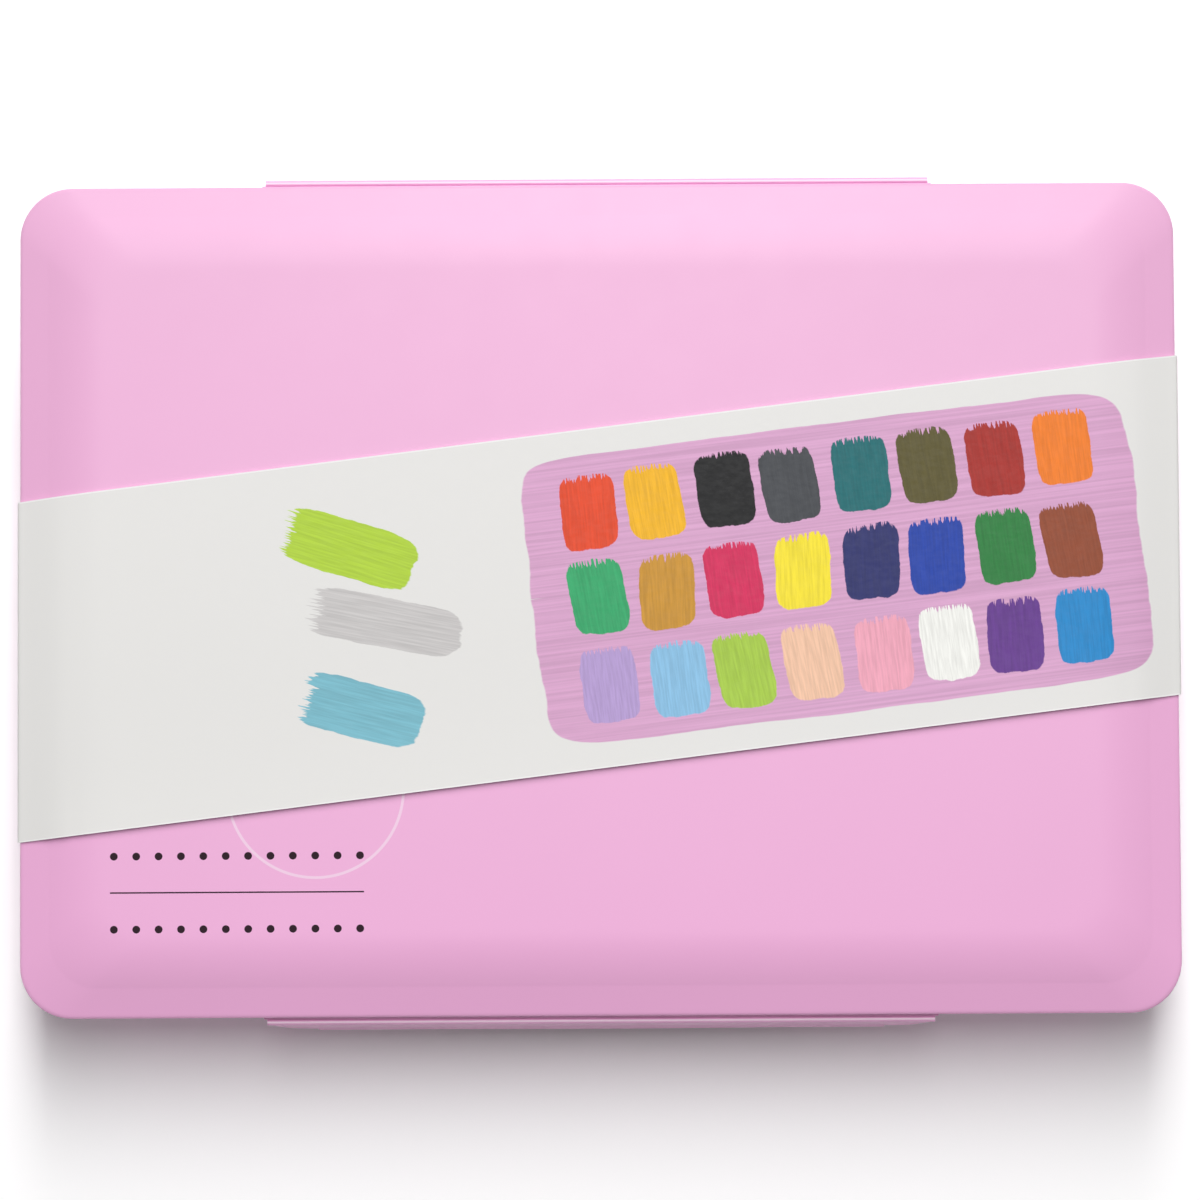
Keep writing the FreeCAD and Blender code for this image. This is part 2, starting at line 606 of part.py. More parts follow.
def build_band():
    """The card band: over the lid's dome, down both ends and hooked under the lid's edge, cut on a slant."""
    body = new_body("card_band")
    half = "box.lid_length/2"
    inner = [
        (f"{half} - box.band_lip", f"{SKIRT_BOTTOM} - box.band_gap"),
        (f"{half} + box.band_gap", f"{SKIRT_BOTTOM} - box.band_gap"),
        (f"{half} + box.band_gap", f"{EDGE_TOP} + box.band_gap"),
        (f"{half} - box.lid_border_width", f"{BORDER_TOP} + box.band_gap"),
        (f"{half} - {SHOULDER_INSET}", f"{SHOULDER_TOP} + box.band_gap"),
        (f"{half} - {TOP_INSET}", f"{LID_TOP} + box.band_gap"),
    ]
    outer = [
        (f"{half} - box.band_lip", f"{SKIRT_BOTTOM} - box.band_gap - box.band_card"),
        (f"{half} + box.band_gap + box.band_card", f"{SKIRT_BOTTOM} - box.band_gap - box.band_card"),
        (f"{half} + box.band_gap + box.band_card", f"{EDGE_TOP} + box.band_gap + box.band_card"),
    ] + [(x, f"{z} + box.band_card") for x, z in inner[3:]]
    profile = new_sketch(body, "card_profile", "XZ_Plane")
    right_half = inner[::-1] + outer
    left_half = [(f"-({x})", z) for x, z in reversed(right_half)]
    add_polygon(profile, right_half + left_half)
    extrude(body, "Pad", "card", profile, "box.lid_width", symmetric=True)
    past_end = f"({half} + box.lid_overhang)"
    lean = "(box.band_slant_rise/2*(1 + 2*box.lid_overhang/box.lid_length))"
    for name, side, reach in (("front_trim", "-", "-box.lid_width"), ("rear_trim", "+", "box.lid_width")):
        left_y = f"box.band_shift {side} box.band_width/2 - {lean}"
        right_y = f"box.band_shift {side} box.band_width/2 + {lean}"
        outline = new_sketch(body, f"{name}_outline", "XY_Plane", SKIRT_BOTTOM)
        add_polygon(outline, (
            (f"-{past_end}", left_y), (past_end, right_y), (past_end, reach), (f"-{past_end}", reach)))
        extrude(body, "Pocket", name, outline, f"2*{LID_TOP}", symmetric=True)


def build_cup(colour, x, y):
    """A clear cup: a flange that sits in the deck and a tapered well under it."""
    body = new_body(f"cup_{colour}", x, y, DECK_TOP)
    flange = centred_outline(
        body, "flange_outline", FLANGE_LENGTH, FLANGE_WIDTH, "box.cup_flange_corner", "0")
    extrude(body, "Pad", "flange", flange, "box.cup_flange_wall", reverse=True)
    foot = "2*box.cup_foot_inset"
    loft(body, "AdditiveLoft", "well", [
        centred_outline(
            body, "well_top", CUP_LENGTH, CUP_WIDTH, "box.cup_corner", "-box.cup_flange_wall"),
        centred_outline(
            body, "well_foot", f"{CUP_LENGTH} - {foot}", f"{CUP_WIDTH} - {foot}",
            "box.cup_foot_corner", "-box.cup_depth"),
    ])
    walls = "2*box.cup_wall"
    loft(body, "SubtractiveLoft", "hollow", [
        centred_outline(
            body, "hollow_top", f"{CUP_LENGTH} - {walls}", f"{CUP_WIDTH} - {walls}",
            "box.cup_corner - box.cup_wall", "0"),
        centred_outline(
            body, "hollow_floor", f"{CUP_LENGTH} - {foot} - {walls}", f"{CUP_WIDTH} - {foot} - {walls}",
            "box.cup_foot_corner - box.cup_wall", "box.cup_wall - box.cup_depth"),
    ])


def build_paint(colour, x, y):
    """The paint in a cup, from the cup's floor to a little under its flange."""
    body = new_body(f"paint_{colour}", x, y, DECK_TOP)
    slope = "(box.cup_foot_inset/(box.cup_depth - box.cup_wall))"
    margin = "(box.cup_wall + box.paint_clearance)"
    sections = []
    for name, drop, corner in (
        ("surface", "box.paint_drop", "box.cup_corner"),
        ("floor", "(box.cup_depth - box.cup_wall)", "box.cup_foot_corner"),
    ):
        inset = f"2*({margin} + {slope}*{drop})"
        sections.append(centred_outline(
            body, name, f"{CUP_LENGTH} - {inset}", f"{CUP_WIDTH} - {inset}",
            f"{corner} - {margin}", f"-{drop}"))
    loft(body, "AdditiveLoft", "fill", sections)


def build_cups():
    """All cups and their paint, row by row from the trough to the rear."""
    for row, colours in enumerate(PAINTS):
        y = f"{REAR_ROW} - {PITCH_Y}*{CUP_ROWS - 1 - row}"
        for column, colour in enumerate(colours):
            x = f"{FIRST_COLUMN} + {PITCH_X}*{column}"
            build_cup(colour, x, y)
            build_paint(colour, x, y)


def build_handle(label, place):
    """A turned wooden handle with a tenon for the ferrule."""
    body = new_body(label, *place)
    profile = new_sketch(body, "handle_profile", "XZ_Plane")
    add_polygon(profile, (
        ("-box.handle_tenon_length", "0"),
        ("-box.handle_tenon_length", "box.handle_tenon_radius"),
        ("0", "box.handle_tenon_radius"),
        ("0", "box.handle_neck_radius"),
        ("box.handle_belly_x", "box.handle_belly_radius"),
        ("box.handle_waist_x", "box.handle_waist_radius"),
        ("box.handle_length - box.handle_tail_round", "box.handle_tail_radius"),
        ("box.handle_length", "box.handle_tip_radius"),
        ("box.handle_length", "0"),
    ))
    revolve(body, "turned_handle", profile)


def ferrule_profile(sketch, mouth_corners):
    """Half profile of a ferrule: tenon socket, crimp rings, and the corners of its other end, out to in."""
    corners = [("0", "box.handle_tenon_radius + box.ferrule_fit"), ("0", "box.ferrule_radius")]
    for ring in range(CRIMP_RINGS):
        start = f"(-box.crimp_first_x - box.crimp_pitch*{ring})"
        crest = "box.ferrule_radius + box.crimp_proud"
        corners += [
            (start, "box.ferrule_radius"),
            (f"{start} - box.crimp_width/3", crest),
            (f"{start} - 2*box.crimp_width/3", crest),
            (f"{start} - box.crimp_width", "box.ferrule_radius"),
        ]
    floor = "(-box.handle_tenon_length - box.ferrule_fit)"
    corners += [("-box.ferrule_round_length", "box.ferrule_radius")]
    corners += mouth_corners
    corners += [(floor, "0"), (floor, "box.handle_tenon_radius + box.ferrule_fit")]
    add_polygon(sketch, corners)


def build_flat_ferrule(place):
    """A ferrule that turns from round at the handle to flat at the mouth."""
    body = new_body("flat_brush_ferrule", *place)
    profile = new_sketch(body, "round_profile", "XZ_Plane")
    ferrule_profile(profile, [("-box.ferrule_round_length", "0")])
    revolve(body, "round_end", profile)
    seam = "2*box.ferrule_radius"
    loft(body, "AdditiveLoft", "flat_end", [
        centred_outline(
            body, "seam", seam, seam, "box.ferrule_radius - box.ferrule_seam_corner",
            "-box.ferrule_round_length", "YZ_Plane"),
        centred_outline(
            body, "mouth", "box.flat_mouth_width", "box.flat_mouth_height", "box.flat_mouth_corner",
            "-box.ferrule_length", "YZ_Plane"),
    ])
    socket = centred_outline(
        body, "socket", "box.flat_mouth_width - 2*box.mouth_wall", "box.flat_mouth_height - 2*box.mouth_wall",
        "box.flat_mouth_corner - box.mouth_wall", "-box.ferrule_length", "YZ_Plane")
    extrude(body, "Pocket", "bristle_socket", socket, "box.bristle_root + box.ferrule_fit", reverse=True)


def build_round_ferrule(place):
    """A ferrule that tapers from the handle to a narrow round mouth."""
    body = new_body("round_brush_ferrule", *place)
    mouth = "-box.ferrule_length"
    socket_radius = "box.round_mouth_radius - box.mouth_wall"
    socket_floor = f"{mouth} + box.bristle_root + box.ferrule_fit"
    profile = new_sketch(body, "ferrule_profile", "XZ_Plane")
    ferrule_profile(profile, [
        (mouth, "box.round_mouth_radius"),
        (mouth, socket_radius),
        (socket_floor, socket_radius),
        (socket_floor, "0"),
    ])
    revolve(body, "drawn_tube", profile)


def build_flat_bristles(place):
    """A flat tuft, a little wider past the ferrule and thin at its cut end."""
    body = new_body("flat_brush_bristles", *place)
    margin = "2*(box.mouth_wall + box.ferrule_fit)"
    width = f"(box.flat_mouth_width - {margin})"
    height = f"(box.flat_mouth_height - {margin})"
    corner = "box.flat_mouth_corner - box.mouth_wall - box.ferrule_fit"
    spread = "2*box.flat_bristle_spread"
    mouth = "-box.ferrule_length"
    loft(body, "AdditiveLoft", "tuft", [
        centred_outline(body, "root", width, height, corner, f"{mouth} + box.bristle_root", "YZ_Plane"),
        centred_outline(body, "at_mouth", width, height, corner, mouth, "YZ_Plane"),
        centred_outline(
            body, "belly", f"{width} + {spread}", height, corner,
            f"{mouth} - box.flat_bristle_belly", "YZ_Plane"),
        centred_outline(
            body, "tip", f"{width} + {spread}", "box.flat_bristle_tip", "box.flat_bristle_tip/3",
            f"{mouth} - box.flat_bristle_length", "YZ_Plane"),
    ])


def build_round_bristles(place):
    """A round tuft that swells past the ferrule and comes to a point."""
    body = new_body("round_brush_bristles", *place)
    mouth = "-box.ferrule_length"
    root_radius = "box.round_mouth_radius - box.mouth_wall - box.ferrule_fit"
    profile = new_sketch(body, "tuft_profile", "XZ_Plane")
    add_polygon(profile, (
        (f"{mouth} + box.bristle_root", "0"),
        (f"{mouth} + box.bristle_root", root_radius),
        (mouth, root_radius),
        (f"{mouth} - box.round_bristle_belly", "box.round_bristle_belly_radius"),
        (f"{mouth} - box.round_bristle_length", "box.round_bristle_tip_radius"),
        (f"{mouth} - box.round_bristle_length", "0"),
    ))
    revolve(body, "tuft", profile)


def build_brushes():
    """A flat and a round brush, side by side on the trough's floor, both pointing to the left."""
    middle = f"({TROUGH_FRONT} + box.trough_width/2)"
    level = f"{TROUGH_FLOOR} + box.handle_belly_radius + box.brush_rest_gap"
    flat = ("box.flat_brush_joint_x", f"{middle} - box.brush_spacing/2", level)
    build_handle("flat_brush_handle", flat)
    build_flat_ferrule(flat)
    build_flat_bristles(flat)
    thin = ("box.round_brush_joint_x", f"{middle} + box.brush_spacing/2", level)
    build_handle("round_brush_handle", thin)
    build_round_ferrule(thin)
    build_round_bristles(thin)


def check_document():
    """Stops on any failed object, bad solid, or cut that took nothing away."""
    for item in doc.Objects:
        if "Invalid" in item.State or "Error" in item.State:
            raise RuntimeError(f"{item.Label} failed: {item.State}")
        if item.TypeId in ("PartDesign::Pocket", "PartDesign::SubtractiveLoft"):
            if item.Shape.Volume >= item.BaseFeature.Shape.Volume:
                raise RuntimeError(f"{item.Label} cuts nothing")
    for body in SUB_PARTS:
        if body.Shape.isNull() or not body.Shape.isValid() or len(body.Shape.Solids) != 1:
            raise RuntimeError(f"{body.Label} is not one sound solid")


build_tub()
build_deck()
build_lid()
build_flap("front_flap", f"-{HINGE_REACH}", 0)
build_flap("rear_flap", HINGE_REACH, 180)
build_band()
build_cups()
build_brushes()
doc.recompute()
check_document()

os.makedirs("parts", exist_ok=True)
for body in SUB_PARTS:
    body.Shape.exportStep(f"parts/{body.Label}.step")
    box = body.Shape.BoundBox
    print(
        f"{body.Label:24s} {body.Shape.Volume:12.1f} mm3  x {box.XMin:8.2f} {box.XMax:8.2f}"
        f"  y {box.YMin:8.2f} {box.YMax:8.2f}  z {box.ZMin:7.2f} {box.ZMax:7.2f}"
    )
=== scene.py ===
"""Gouache paint box: modelled pieces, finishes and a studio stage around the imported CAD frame."""

import json
import math
import random

import bmesh
import bpy
from bpy.props import FloatProperty, FloatVectorProperty, IntProperty, PointerProperty
from bpy.types import Operator, Panel, PropertyGroup
from mathutils import Matrix, Vector, noise


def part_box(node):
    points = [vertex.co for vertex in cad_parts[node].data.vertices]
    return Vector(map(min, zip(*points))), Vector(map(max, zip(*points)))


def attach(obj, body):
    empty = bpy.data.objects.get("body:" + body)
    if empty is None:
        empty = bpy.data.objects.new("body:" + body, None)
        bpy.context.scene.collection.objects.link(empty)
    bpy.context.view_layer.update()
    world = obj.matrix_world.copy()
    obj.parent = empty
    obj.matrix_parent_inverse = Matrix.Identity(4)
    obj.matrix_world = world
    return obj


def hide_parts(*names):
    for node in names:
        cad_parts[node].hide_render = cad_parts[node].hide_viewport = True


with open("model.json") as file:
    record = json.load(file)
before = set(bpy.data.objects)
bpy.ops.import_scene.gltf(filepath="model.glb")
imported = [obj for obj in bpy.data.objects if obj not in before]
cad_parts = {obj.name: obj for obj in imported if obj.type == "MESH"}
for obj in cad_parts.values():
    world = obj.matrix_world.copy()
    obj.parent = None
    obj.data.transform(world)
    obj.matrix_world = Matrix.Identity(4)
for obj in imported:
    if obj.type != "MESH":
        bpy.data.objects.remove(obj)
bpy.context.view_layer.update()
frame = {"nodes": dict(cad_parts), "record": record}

bl_info = {
    "name": "Gouache paint box",
    "version": (1, 0, 0),
    "blender": (4, 5, 0),
    "location": "View3D > Sidebar > Paint box",
    "description": "Dresses a pink gouache paint box with its lid, card band, cups of paint and brushes",
    "category": "Object",
}

MM = 0.001
LID_LOW, LID_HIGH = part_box("lid")
LID_LENGTH = LID_HIGH.x - LID_LOW.x
NODES = frame["nodes"]
PAINT_NODES = sorted(name for name in NODES if name.startswith("paint_"))


def linear(display):
    """A display colour, as the record writes it, as the linear colour that a shader socket takes."""
    return tuple(c / 12.92 if c <= 0.04045 else ((c + 0.055) / 1.055) ** 2.4 for c in display[:3])


SLOT_COLOUR = {entry["slot"]: linear(entry["base_color"]) for entry in frame["record"]["materials"]}


def length_property(name, description, millimetres):
    """A length that a user may change, kept in metres."""
    return FloatProperty(
        name=name, description=description, default=millimetres * MM, unit="LENGTH", subtype="DISTANCE")


def colour_property(name, description, default):
    """A linear colour that a user may change."""
    return FloatVectorProperty(
        name=name, description=description, default=default, size=3, min=0.0, max=1.0, subtype="COLOR")


def angle_property(name, description, degrees):
    """An angle that a user may change, kept in radians."""
    return FloatProperty(name=name, description=description, default=math.radians(degrees), unit="ROTATION")


class PaintBoxSizes(PropertyGroup):
    """Sizes of the modelled pieces."""

    lid_length: length_property("Lid length", "Length of the lid along the box", LID_LENGTH / MM)
    lid_width: length_property("Lid width", "Width of the lid from front edge to rear edge", 247.0)
    lid_corner: length_property("Lid corner", "Radius of the lid's corners seen from above", 15.5)
    band_width: length_property("Band width", "Width of the card band from front to rear", 101.0)
    band_rise: length_property("Band rise", "How far the band climbs over the lid's length", 41.9)
    band_shift: length_property("Band shift", "How far the band's middle lies behind the lid's middle", 0.1)
    band_card: length_property("Card thickness", "Thickness of the band's card", 0.45)
    band_gap: length_property("Band gap", "Air between the band and the lid", 0.25)
    cup_length: length_property("Cup length", "Length of a cup's flange along the box", 49.0)
    cup_width: length_property("Cup width", "Width of a cup's flange", 43.0)
    cup_corner: length_property("Cup corner", "Radius of a cup flange's corners", 5.5)
    stir_pitch: length_property("Stir pitch", "Distance between two turns of the groove in paint", 7.0)
    stir_height: length_property("Stir height", "Height of the groove in stirred paint", 0.95)
    filament_count: IntProperty(
        name="Filaments", description="Filaments in one brush", default=220, min=20, max=600)


class PaintBoxColours(PropertyGroup):
    """Colours of the finishes."""

    pink: colour_property("Pink plastic", "Colour of the moulded box", (0.850, 0.435, 0.690))
    ink: colour_property("Lid ink", "Colour of the dots printed on the lid", (0.022, 0.006, 0.014))
    card: colour_property("Card", "Colour of the unprinted card", (0.790, 0.780, 0.762))
    cup: colour_property("Clear cup", "Tint of the clear cups", (0.96, 0.97, 0.97))
    wood: colour_property("Handle wood", "Colour of the brush handles", SLOT_COLOUR["pale_wood"])
    metal: colour_property("Ferrule metal", "Colour of the ferrules", SLOT_COLOUR["ferrule_metal"])
    filament: colour_property("Filament", "Colour of the brushes' filaments", SLOT_COLOUR["nylon_bristle"])


class PaintBoxStage(PropertyGroup):
    """Light and camera of the studio stage."""

    key_power: FloatProperty(
        name="Key power", description="Power of the soft lamp behind the box", default=59.3, unit="POWER")
    fill_level: FloatProperty(
        name="Fill level", description="Light from all round", default=0.30, min=0.0, max=1.0)
    camera_distance: length_property("Camera distance", "Camera's distance from the lid", 1200.0)
    camera_tilt: angle_property("Camera tilt", "How far the camera leans to the front", 2.5)
    camera_roll: angle_property("Camera roll", "Camera's turn about its own line of sight", -0.33)


# Modelling tools


def leave_edit_mode():
    """Goes back to object mode with nothing selected."""
    if bpy.context.object is not None and bpy.context.object.mode != "OBJECT":
        bpy.ops.object.mode_set(mode="OBJECT")
    bpy.ops.object.select_all(action="DESELECT")


def choose(piece):
    """Makes one piece the only selected object."""
    leave_edit_mode()
    piece.select_set(True)
    bpy.context.view_layer.objects.active = piece


def edit(piece):
    """Opens one piece in edit mode with all of it selected."""
    choose(piece)
    bpy.ops.object.mode_set(mode="EDIT")
    bpy.ops.mesh.select_all(action="SELECT")


def select_points(piece, wanted):
    """Selects the points for which the test holds, in a piece that is open in edit mode."""
    bpy.ops.mesh.select_all(action="DESELECT")
    mesh = bmesh.from_edit_mesh(piece.data)
    for point in mesh.verts:
        point.select_set(wanted(point))
    mesh.select_flush_mode()
    bmesh.update_edit_mesh(piece.data)


def by(x=0.0, y=0.0, z=0.0):
    """How far an extrude operator carries what it makes."""
    return {"value": (x, y, z), "orient_type": "GLOBAL"}


def named(name):
    """Names the primitive that was just added and puts its place into its mesh."""
    piece = bpy.context.active_object
    piece.name = name
    piece.data.name = name
    bpy.ops.object.transform_apply(location=True, rotation=True, scale=True)
    return piece


def new_object(name, data):
    """Puts an object with a mesh, lamp or camera of its own into the scene."""
    holder = bpy.data.objects.new(name, data)
    data.name = name
    bpy.context.scene.collection.objects.link(holder)
    return holder


def smooth(piece, degrees=35.0):
    """Smooth shading over all edges that turn by less than the angle."""
    choose(piece)
    bpy.ops.object.shade_smooth_by_angle(angle=math.radians(degrees))


def apply_modifier(piece, name, kind, **settings):
    """Adds a modifier with its settings and applies it."""
    choose(piece)
    modifier = piece.modifiers.new(name, kind)
    for setting, value in settings.items():
        setattr(modifier, setting, value)
    bpy.ops.object.modifier_apply(modifier=modifier.name)


def make_sound(piece):
    """Merges doubled points and turns all faces outwards."""
    edit(piece)
    bpy.ops.mesh.remove_doubles(threshold=1e-6)
    bpy.ops.mesh.normals_make_consistent(inside=False)
    leave_edit_mode()


def hang(piece, material, body, slot, *nodes):
    """Gives a finished piece its material and its CAD body, and hides the CAD nodes that it takes the place
    of.
    """
    leave_edit_mode()
    piece.data.materials.clear()
    piece.data.materials.append(material)
    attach(piece, body)
    if nodes:
        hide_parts(*nodes)


def moulded_shell(name, length, width, corner, rings, corner_segments):
    """A closed shell of rounded rectangles about the origin.

    Each ring is an inset from the outline and a level, from the first face to the last.
    """
    leave_edit_mode()
    level_now = rings[0][1]
    bpy.ops.mesh.primitive_plane_add(size=1.0, location=(0.0, 0.0, level_now))
    bpy.context.active_object.scale = (length, width, 1.0)
    shell = named(name)
    edit(shell)
    bpy.ops.mesh.bevel(
        offset=corner, offset_type="OFFSET", segments=corner_segments, profile=0.5, affect="VERTICES")
    bpy.ops.mesh.select_all(action="SELECT")
    inset_now = 0.0
    for i, (inset, level) in enumerate(rings):
        if i > 0:
            bpy.ops.mesh.extrude_region_move(TRANSFORM_OT_translate=by(z=level - level_now))
        share_x, share_y = ((side - 2.0 * inset) / (side - 2.0 * inset_now) for side in (length, width))
        bpy.ops.transform.resize(value=(share_x, share_y, 1.0), center_override=(0.0, 0.0, level))
        inset_now = inset
        level_now = level
    make_sound(shell)
    smooth(shell)
    return shell


def turned_piece(name, centre_y, centre_z, stations, sides=28):
    """A closed piece along X: each station is its place, half its width in Y and half its height in Z."""
    leave_edit_mode()
    x_now, y_now, z_now = (stations[0][0], 1.0, 1.0)
    bpy.ops.mesh.primitive_circle_add(
        vertices=sides, radius=1.0, fill_type="NGON", rotation=(0.0, math.pi / 2.0, 0.0),
        location=(x_now, centre_y, centre_z))
    piece = named(name)
    edit(piece)
    for i, (x, half_y, half_z) in enumerate(stations):
        if i > 0:
            bpy.ops.mesh.extrude_region_move(TRANSFORM_OT_translate=by(x=x - x_now))
        share = (1.0, half_y / y_now, half_z / z_now)
        bpy.ops.transform.resize(value=share, center_override=(x, centre_y, centre_z))
        x_now, y_now, z_now = (x, half_y, half_z)
    make_sound(piece)
    smooth(piece)
    return piece


WELD = 0.004 * MM
LEVEL_ANGLE = math.radians(0.4)
SHARP_ANGLE = math.radians(32.0)


def softened_copy(node, name, width, segments, crease):
    """A copy of a CAD node with its sharp edges rounded over and its level faces kept level.

    Edges that turn by more than the crease angle, in degrees, still show as lines.
    """
    piece = new_object(name, NODES[node].data.copy())
    choose(piece)
    bpy.ops.mesh.customdata_custom_splitnormals_clear()
    edit(piece)
    bpy.ops.mesh.remove_doubles(threshold=WELD)
    bpy.ops.mesh.dissolve_limited(angle_limit=LEVEL_ANGLE)
    leave_edit_mode()
    apply_modifier(
        piece, "rounded_edges", "BEVEL", width=width, segments=segments, limit_method="ANGLE",
        angle_limit=SHARP_ANGLE, use_clamp_overlap=True, harden_normals=False)
    smooth(piece, crease)
    apply_modifier(piece, "level_faces", "WEIGHTED_NORMAL", mode="FACE_AREA", weight=90, keep_sharp=True)
    return piece


# Node tools

# Sockets of a Mix node that carry colours
MIX_FIRST, MIX_SECOND, MIX_RESULT = (6, 7, 2)
# Kinds of the sockets that aren't plain numbers, by name
SOCKET_KINDS = {"Vector": "NodeSocketVector", "Colour": "NodeSocketColor"}


class Signal:
    """A node's output; each sign of arithmetic with it adds a Math node."""

    def __init__(self, net, socket):
        self.net = net
        self.socket = socket

    def __add__(self, other):
        return self.net.maths("ADD", self, other)

    def __sub__(self, other):
        return self.net.maths("SUBTRACT", self, other)

    def __mul__(self, other):
        return self.net.maths("MULTIPLY", self, other)

    def __truediv__(self, other):
        return self.net.maths("DIVIDE", self, other)

    def __pow__(self, other):
        return self.net.maths("POWER", self, other)

    def __abs__(self):
        return self.net.maths("ABSOLUTE", self)

    def times_plus(self, factor, rest):
        """This signal times a factor, with the rest added."""
        return self.net.maths("MULTIPLY_ADD", self, factor, rest)

    def ramp(self, low, high, to_low=0.0, to_high=1.0):
        """A soft step of this signal between two limits."""
        return self.net.add(
            "ShaderNodeMapRange", "Result", {"interpolation_type": "SMOOTHSTEP"},
            Value=self, From_Min=low, From_Max=high, To_Min=to_low, To_Max=to_high)


class Net:
    """A node tree; inputs are given by name, with _ for a space, as values or as signals."""

    def __init__(self, tree, ends=None):
        self.tree = tree
        self.ends = ends

    def feed(self, socket, value):
        """Links a signal to a socket, or sets the socket's own value."""
        if isinstance(value, Signal):
            self.tree.links.new(value.socket, socket)
        else:
            socket.default_value = value

    def feed_all(self, sockets, inputs):
        """Feeds several sockets by name."""
        for name, value in inputs.items():
            self.feed(sockets[name.replace("_", " ")], value)

    def give(self, **inputs):
        """Feeds the shader or the group's outputs at the end of the tree."""
        self.feed_all(self.ends, inputs)

    def node(self, kind, settings=None, **inputs):
        """Adds a node."""
        node = self.tree.nodes.new(kind)
        for name, value in (settings or {}).items():
            setattr(node, name, value)
        self.feed_all(node.inputs, inputs)
        return node

    def add(self, kind, output, settings=None, **inputs):
        """Adds a node and returns one of its outputs."""
        return Signal(self, self.node(kind, settings, **inputs).outputs[output])

    def signals(self, node):
        """All outputs of a node by name."""
        return {socket.name: Signal(self, socket) for socket in node.outputs}

    def group(self, name, **inputs):
        """Adds a shared effect and returns its outputs by name."""
        tree = bpy.data.node_groups[name]
        return self.signals(self.node("ShaderNodeGroup", {"node_tree": tree}, **inputs))

    def maths(self, operation, *values):
        """Adds a Math node."""
        node = self.node("ShaderNodeMath", {"operation": operation})
        for socket, value in zip(node.inputs, values):
            self.feed(socket, value)
        return Signal(self, node.outputs[0])

    def mix(self, factor, first, second, blend="MIX"):
        """Adds a Mix node for colours."""
        node = self.node("ShaderNodeMix", {"data_type": "RGBA", "blend_type": blend}, Factor=factor)
        self.feed(node.inputs[MIX_FIRST], first)
        self.feed(node.inputs[MIX_SECOND], second)
        return Signal(self, node.outputs[MIX_RESULT])

    def combined(self, red, green, blue):
        """A colour of three channels."""
        return self.add("ShaderNodeCombineColor", "Color", Red=red, Green=green, Blue=blue)

    def shaded(self, colour, level):
        """A colour times one level in all its channels."""
        return self.mix(1.0, colour, self.combined(level, level, level), "MULTIPLY")

    def noise(self, vector, scale, detail, **more):
        """Adds a noise texture."""
        return self.add("ShaderNodeTexNoise", "Fac", Vector=vector, Scale=scale, Detail=detail, **more)

    def place(self):
        """The piece's own coordinates, in metres."""
        return self.add("ShaderNodeTexCoord", "Object")

    def axes(self, vector):
        """The three coordinates of a vector."""
        node = self.node("ShaderNodeSeparateXYZ", Vector=vector)
        return [Signal(self, socket) for socket in node.outputs]

    def joined(self, x, y, z=0.0):
        """A vector of three coordinates."""
        return self.add("ShaderNodeCombineXYZ", "Vector", X=x, Y=y, Z=z)

    def distance(self, x, y):
        """The length of a line with these two sides."""
        return self.maths("SQRT", x.times_plus(x, y * y))

    def fibre(self, fineness, stretch):
        """Fibres along the piece."""
        return self.group("Fibre", Vector=self.place(), Fineness=fineness, Stretch=stretch)["Fibre"]


def cleared_tree(holder):
    """The emptied node tree of a material or a world."""
    holder.use_nodes = True
    holder.node_tree.nodes.clear()
    return holder.node_tree


class Finish(Net):
    """A material with one Principled shader; constants are set on the shader's own sockets."""

    def __init__(self, name, **constants):
        self.material = bpy.data.materials.new(name)
        super().__init__(cleared_tree(self.material))
        output = self.node("ShaderNodeOutputMaterial")
        shader = self.node("ShaderNodeBsdfPrincipled", **constants)
        self.tree.links.new(shader.outputs["BSDF"], output.inputs["Surface"])
        self.ends = shader.inputs

    def raise_surface(self, height, distance, strength):
        """Feeds a height to the shader's normal."""
        self.give(Normal=self.add(
            "ShaderNodeBump", "Normal", Strength=strength, Distance=distance, Height=height))


class Effect(Net):
    """A shader node group that finishes share; given holds its inputs, which have their own defaults."""

    def __init__(self, name, outputs, **defaults):
        super().__init__(bpy.data.node_groups.new(name, "ShaderNodeTree"))
        for output in outputs:
            self.new_socket(output, "OUTPUT")
        for given, default in defaults.items():
            socket = self.new_socket(given.replace("_", " "), "INPUT")
            if default is not None:
                socket.default_value = default
        self.given = self.signals(self.node("NodeGroupInput"))
        self.ends = self.node("NodeGroupOutput").inputs

    def new_socket(self, name, side):
        """A socket of the group, a plain number unless its name says more."""
        kind = SOCKET_KINDS.get(name, "NodeSocketFloat")
        return self.tree.interface.new_socket(name=name, in_out=side, socket_type=kind)


def opaque(colour, shares=(1.0, 1.0, 1.0)):
    """A colour, each channel times its share, with the full alpha that a colour socket takes."""
    return (*(channel * share for channel, share in zip(colour, shares)), 1.0)


# Shared effects

DOT_SOFTNESS = 0.05 * MM
DAB_RIM = 0.985


def make_moulded_skin():
    """Moulded plastic: slow drift of the pigment, fine erosion grain and patches of gloss."""
    net = Effect(
        "Moulded skin", ("Colour", "Roughness", "Height"),
        Vector=None, Colour=None, Drift=0.03, Roughness=0.45, Gloss_Drift=0.06)
    given = net.given
    drift = (net.noise(given["Vector"], 16.0, 2.0) - 0.5).times_plus(given["Drift"], 1.0)
    patch = net.noise(given["Vector"], 110.0, 3.0) - 0.5
    net.give(
        Colour=net.shaded(given["Colour"], drift),
        Roughness=patch.times_plus(given["Gloss Drift"], given["Roughness"]),
        Height=net.noise(given["Vector"], 1700.0, 2.0))


